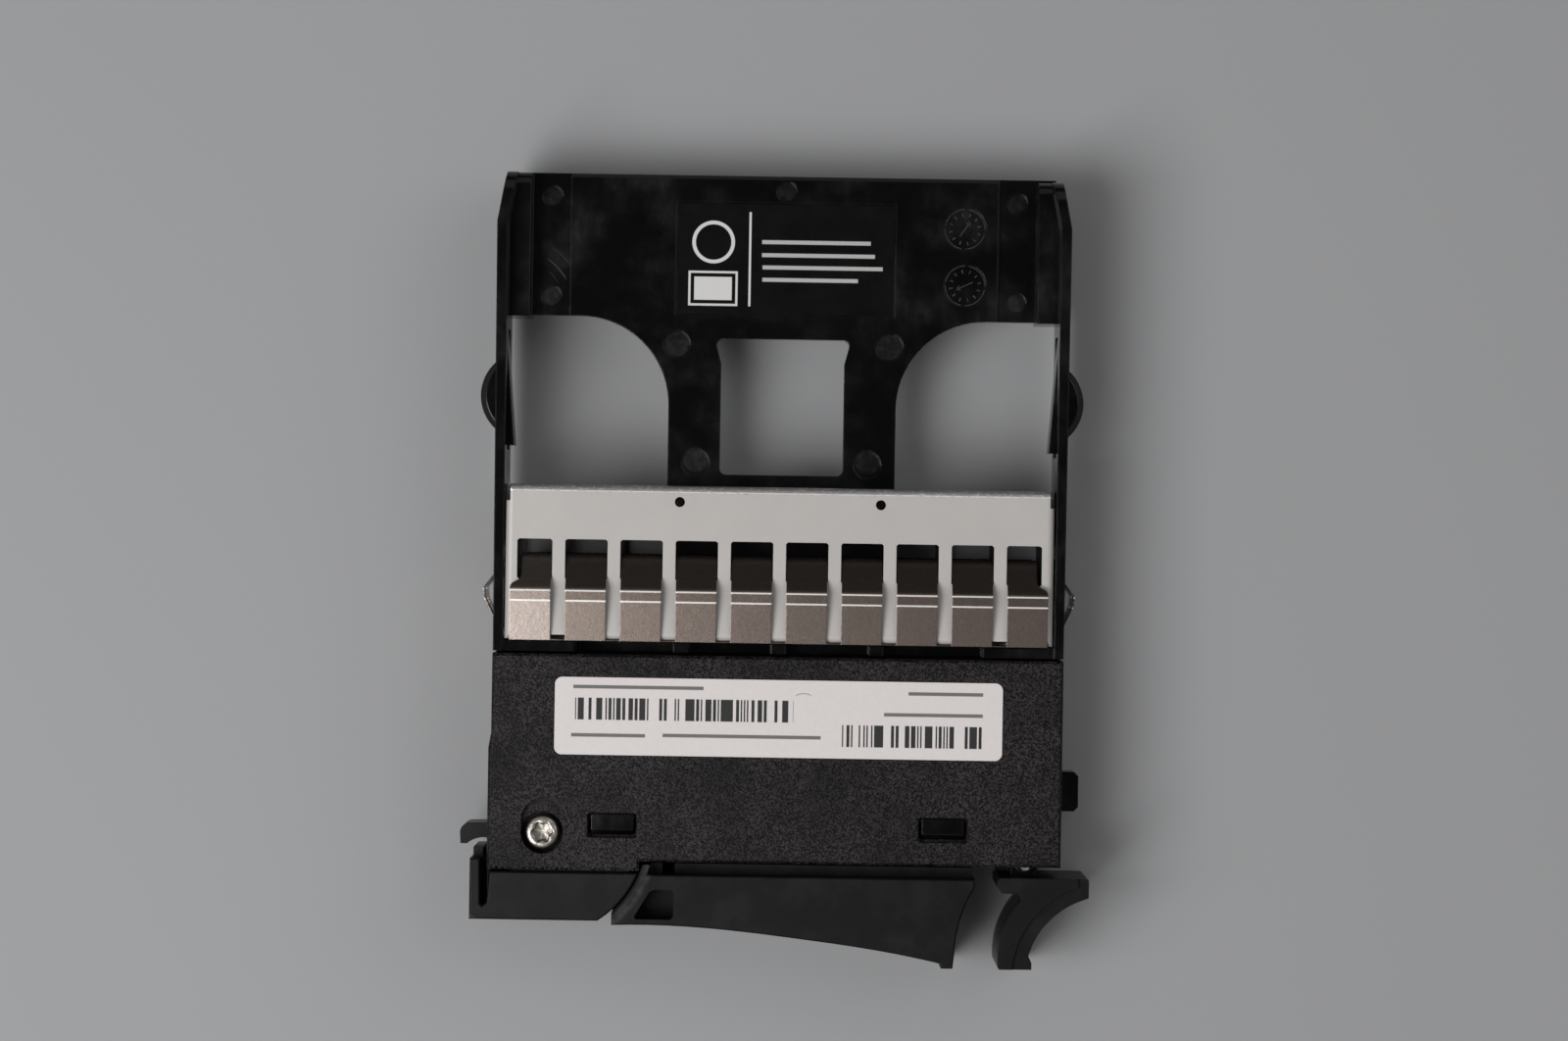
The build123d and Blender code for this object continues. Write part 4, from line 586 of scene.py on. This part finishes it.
BARS = [(2.8, 32.6, 4.8, 7.8, 11), (39.3, 58.6, 1.6, 4.6, 47)]            # left, right, low, high, seed
BAR_PITCH = 0.21
BAR_SHARE = 0.5                                          # of the places in a field that are black
RULES = [(2.5, 20.3, 9.3), (48.3, 58.5, 9.0), (45.0, 58.5, 6.1), (2.3, 12.4, 2.7), (14.8, 36.4, 2.8)]
RULE_HALF = 0.24
HAIR_CENTRE = (34.0, 6.6)
HAIR_RADIUS = 2.2
HAIR_HALF = (0.03, 0.1)
HAIR_SPAN = (-1.1, 1.0, 0, 3.4)                          # left, right, low, high about its centre
HAIR_FADE = 0.15
WHITE_FILM = (0.665, 0.615, 0.61)
GREYED_FILM = (0.59, 0.55, 0.545)
HAIR_BROWN = (0.12, 0.11, 0.11)
BLACK_INK = (0.009, 0.0085, 0.0085)


def field(finish, x, y, left, right, bottom, top, soft=0.05):
    """1 inside a rectangle of the plan."""
    inside_x = finish.band(x, left - soft, left + soft, right - soft, right + soft)
    return inside_x * finish.band(y, bottom - soft, bottom + soft, top - soft, top + soft)


paper = Finish("white_label_film", IOR=1.46)
label_low = corners("front_label")[0]
across, up = paper.x - label_low.x, paper.y - label_low.y
ink = 0.0
for left, right, bottom, top, seed in BARS:
    count = across.maths("FLOOR", across / BAR_PITCH)
    chance = paper.node("ShaderNodeTexWhiteNoise", {"noise_dimensions": "1D"}, {"W": count + seed})["Value"]
    ink = ink + field(paper, across, up, left, right, bottom, top) * (chance < BAR_SHARE)
for left, right, middle in RULES:
    ink = ink + 0.8 * field(paper, across, up, left, right, middle - RULE_HALF, middle + RULE_HALF)
hair_x, hair_y = HAIR_CENTRE
hair_far = paper.reach(label_low.x + hair_x, label_low.y + hair_y)
hair = paper.line(hair_far - HAIR_RADIUS, *HAIR_HALF)
hair = hair * field(paper, across, up, hair_x + HAIR_SPAN[0], hair_x + HAIR_SPAN[1],
                    hair_y + HAIR_SPAN[2], hair_y + HAIR_SPAN[3], HAIR_FADE)
fibre = paper.noise(1.4, 4)
plain = paper.blend(fibre, WHITE_FILM, GREYED_FILM)
plain = paper.blend(0.7 * hair, plain, HAIR_BROWN)
paper.feed("Base Color", paper.blend(ink, plain, BLACK_INK))
paper.feed("Roughness", 0.5 + 0.1 * fibre)
paper.relief(fibre, 0.006, edge=0.08)
paper.cover("front_label")


# ---- Rear label
# Black printed film in its seat on the rear plate, with a white rule, a ring, a plain panel in a
# frame and four short lines.

UPRIGHT_RULE = (9.8, 10.1, 1.1, 14.1)                    # left, right, low, high
RULE_SOFT = 0.04
LINES = [(11.6, 26.6, 10.0), (11.6, 27.2, 8.2), (11.7, 28.3, 6.5), (11.7, 24.9, 4.8)]
LINE_HALF = 0.27
RING_CENTRE = (4.9, 9.9)
RING_MEAN = 2.7
RING_HALF = (0.2, 0.3)
FRAME_OUTSIDE = (1.5, 8.3, 1.1, 5.9)
FRAME_INSIDE = (1.8, 8.0, 1.4, 5.6)
PANEL = (2.3, 7.5, 1.9, 5.1)
BLACK_FILM = (0.0012, 0.0012, 0.0013)
SMEARED_FILM = (0.003, 0.0028, 0.003)
WHITE_INK = (0.6, 0.59, 0.58)

film = Finish("black_label_film", IOR=1.46)
across, up = film.x - rear_label_low.x, film.y - rear_label_low.y
white = field(film, across, up, *UPRIGHT_RULE, RULE_SOFT)
for left, right, middle in LINES:
    white = white + 0.7 * field(film, across, up, left, right, middle - LINE_HALF, middle + LINE_HALF)
ring_far = film.reach(rear_label_low.x + RING_CENTRE[0], rear_label_low.y + RING_CENTRE[1])
white = white + film.line(ring_far - RING_MEAN, *RING_HALF)
white = white + field(film, across, up, *FRAME_OUTSIDE)
white = white - field(film, across, up, *FRAME_INSIDE)
white = white + field(film, across, up, *PANEL)
patch = film.noise(0.3, 4)
backing = film.blend(patch, BLACK_FILM, SMEARED_FILM)
film.feed("Base Color", film.blend(white, backing, WHITE_INK))
film.feed("Roughness", 0.16 + 0.1 * patch)
film.relief(patch, 0.01, edge=0.06)
film.cover("rear_label")


# ---- Studio
# Plain pale floor, a large soft lamp from the front left, a weak one from the rear right, a dim
# ring of sky, and a camera high above the part. Lengths here are in metres.

FLOOR_TONE = (0.305, 0.307, 0.313, 1)
FLOOR_HALF = 3.0
LAMP_FAR = 0.8
SKY_RING = (0.37, 0.57, 0.94, 0.978)                     # as the sine of the height above the floor
SKY_DIM = 0.04
SKY_BRIGHT = 0.28
BACKDROP = 0.33

ground = Finish("pale_floor", Roughness=0.85)
ground.shader.inputs["Base Color"].default_value = FLOOR_TONE
shape = bmesh.new()
bmesh.ops.create_grid(shape, x_segments=1, y_segments=1, size=FLOOR_HALF)
floor_mesh = bpy.data.meshes.new("floor")
shape.to_mesh(floor_mesh)
shape.free()
floor = bpy.data.objects.new("floor", floor_mesh)
floor.location.z = cad_box[0][2]
bpy.context.scene.collection.objects.link(floor)
ground.dress(floor)


def lamp(name, direction, size, power):
    """Square soft lamp that faces the object from a direction."""
    light = bpy.data.lights.new(name, "AREA")
    light.size = size
    light.energy = power
    holder = bpy.data.objects.new(name, light)
    holder.location = Vector(direction).normalized() * LAMP_FAR
    holder.rotation_euler = Vector(direction).to_track_quat("Z", "Y").to_euler()
    bpy.context.scene.collection.objects.link(holder)


lamp("key_lamp", (-0.519, -0.276, 0.809), 0.5, 5.6)
lamp("fill_lamp", (0.6, 0.35, 0.72), 0.6, 1.05)

world = bpy.data.worlds.new("studio")
world.use_nodes = True
bpy.context.scene.world = world
sky = Nodes(world.node_tree)
heading = sky.node("ShaderNodeTexCoord", {}, {})["Generated"]
height = sky.node("ShaderNodeSeparateXYZ", {}, {"Vector": heading})["Z"]
seen = sky.node("ShaderNodeLightPath", {}, {})["Is Camera Ray"]
strength = seen * BACKDROP + (1 - seen) * (SKY_DIM + SKY_BRIGHT * sky.band(height, *SKY_RING))
background = world.node_tree.nodes["Background"]
world.node_tree.links.new(strength.socket, background.inputs["Strength"])
background.inputs["Color"].default_value = (1, 1, 1, 1)

camera_data = bpy.data.cameras.new("camera")
camera_data.sensor_width = 36.0
camera_data.lens = 106.3
camera = bpy.data.objects.new("camera", camera_data)
camera.location = (0.00072, 0.0067, 0.650)
camera.rotation_euler = (0, 0, 0.0158)
bpy.context.scene.collection.objects.link(camera)
bpy.context.scene.camera = camera
bpy.context.scene.view_settings.view_transform = "Standard"
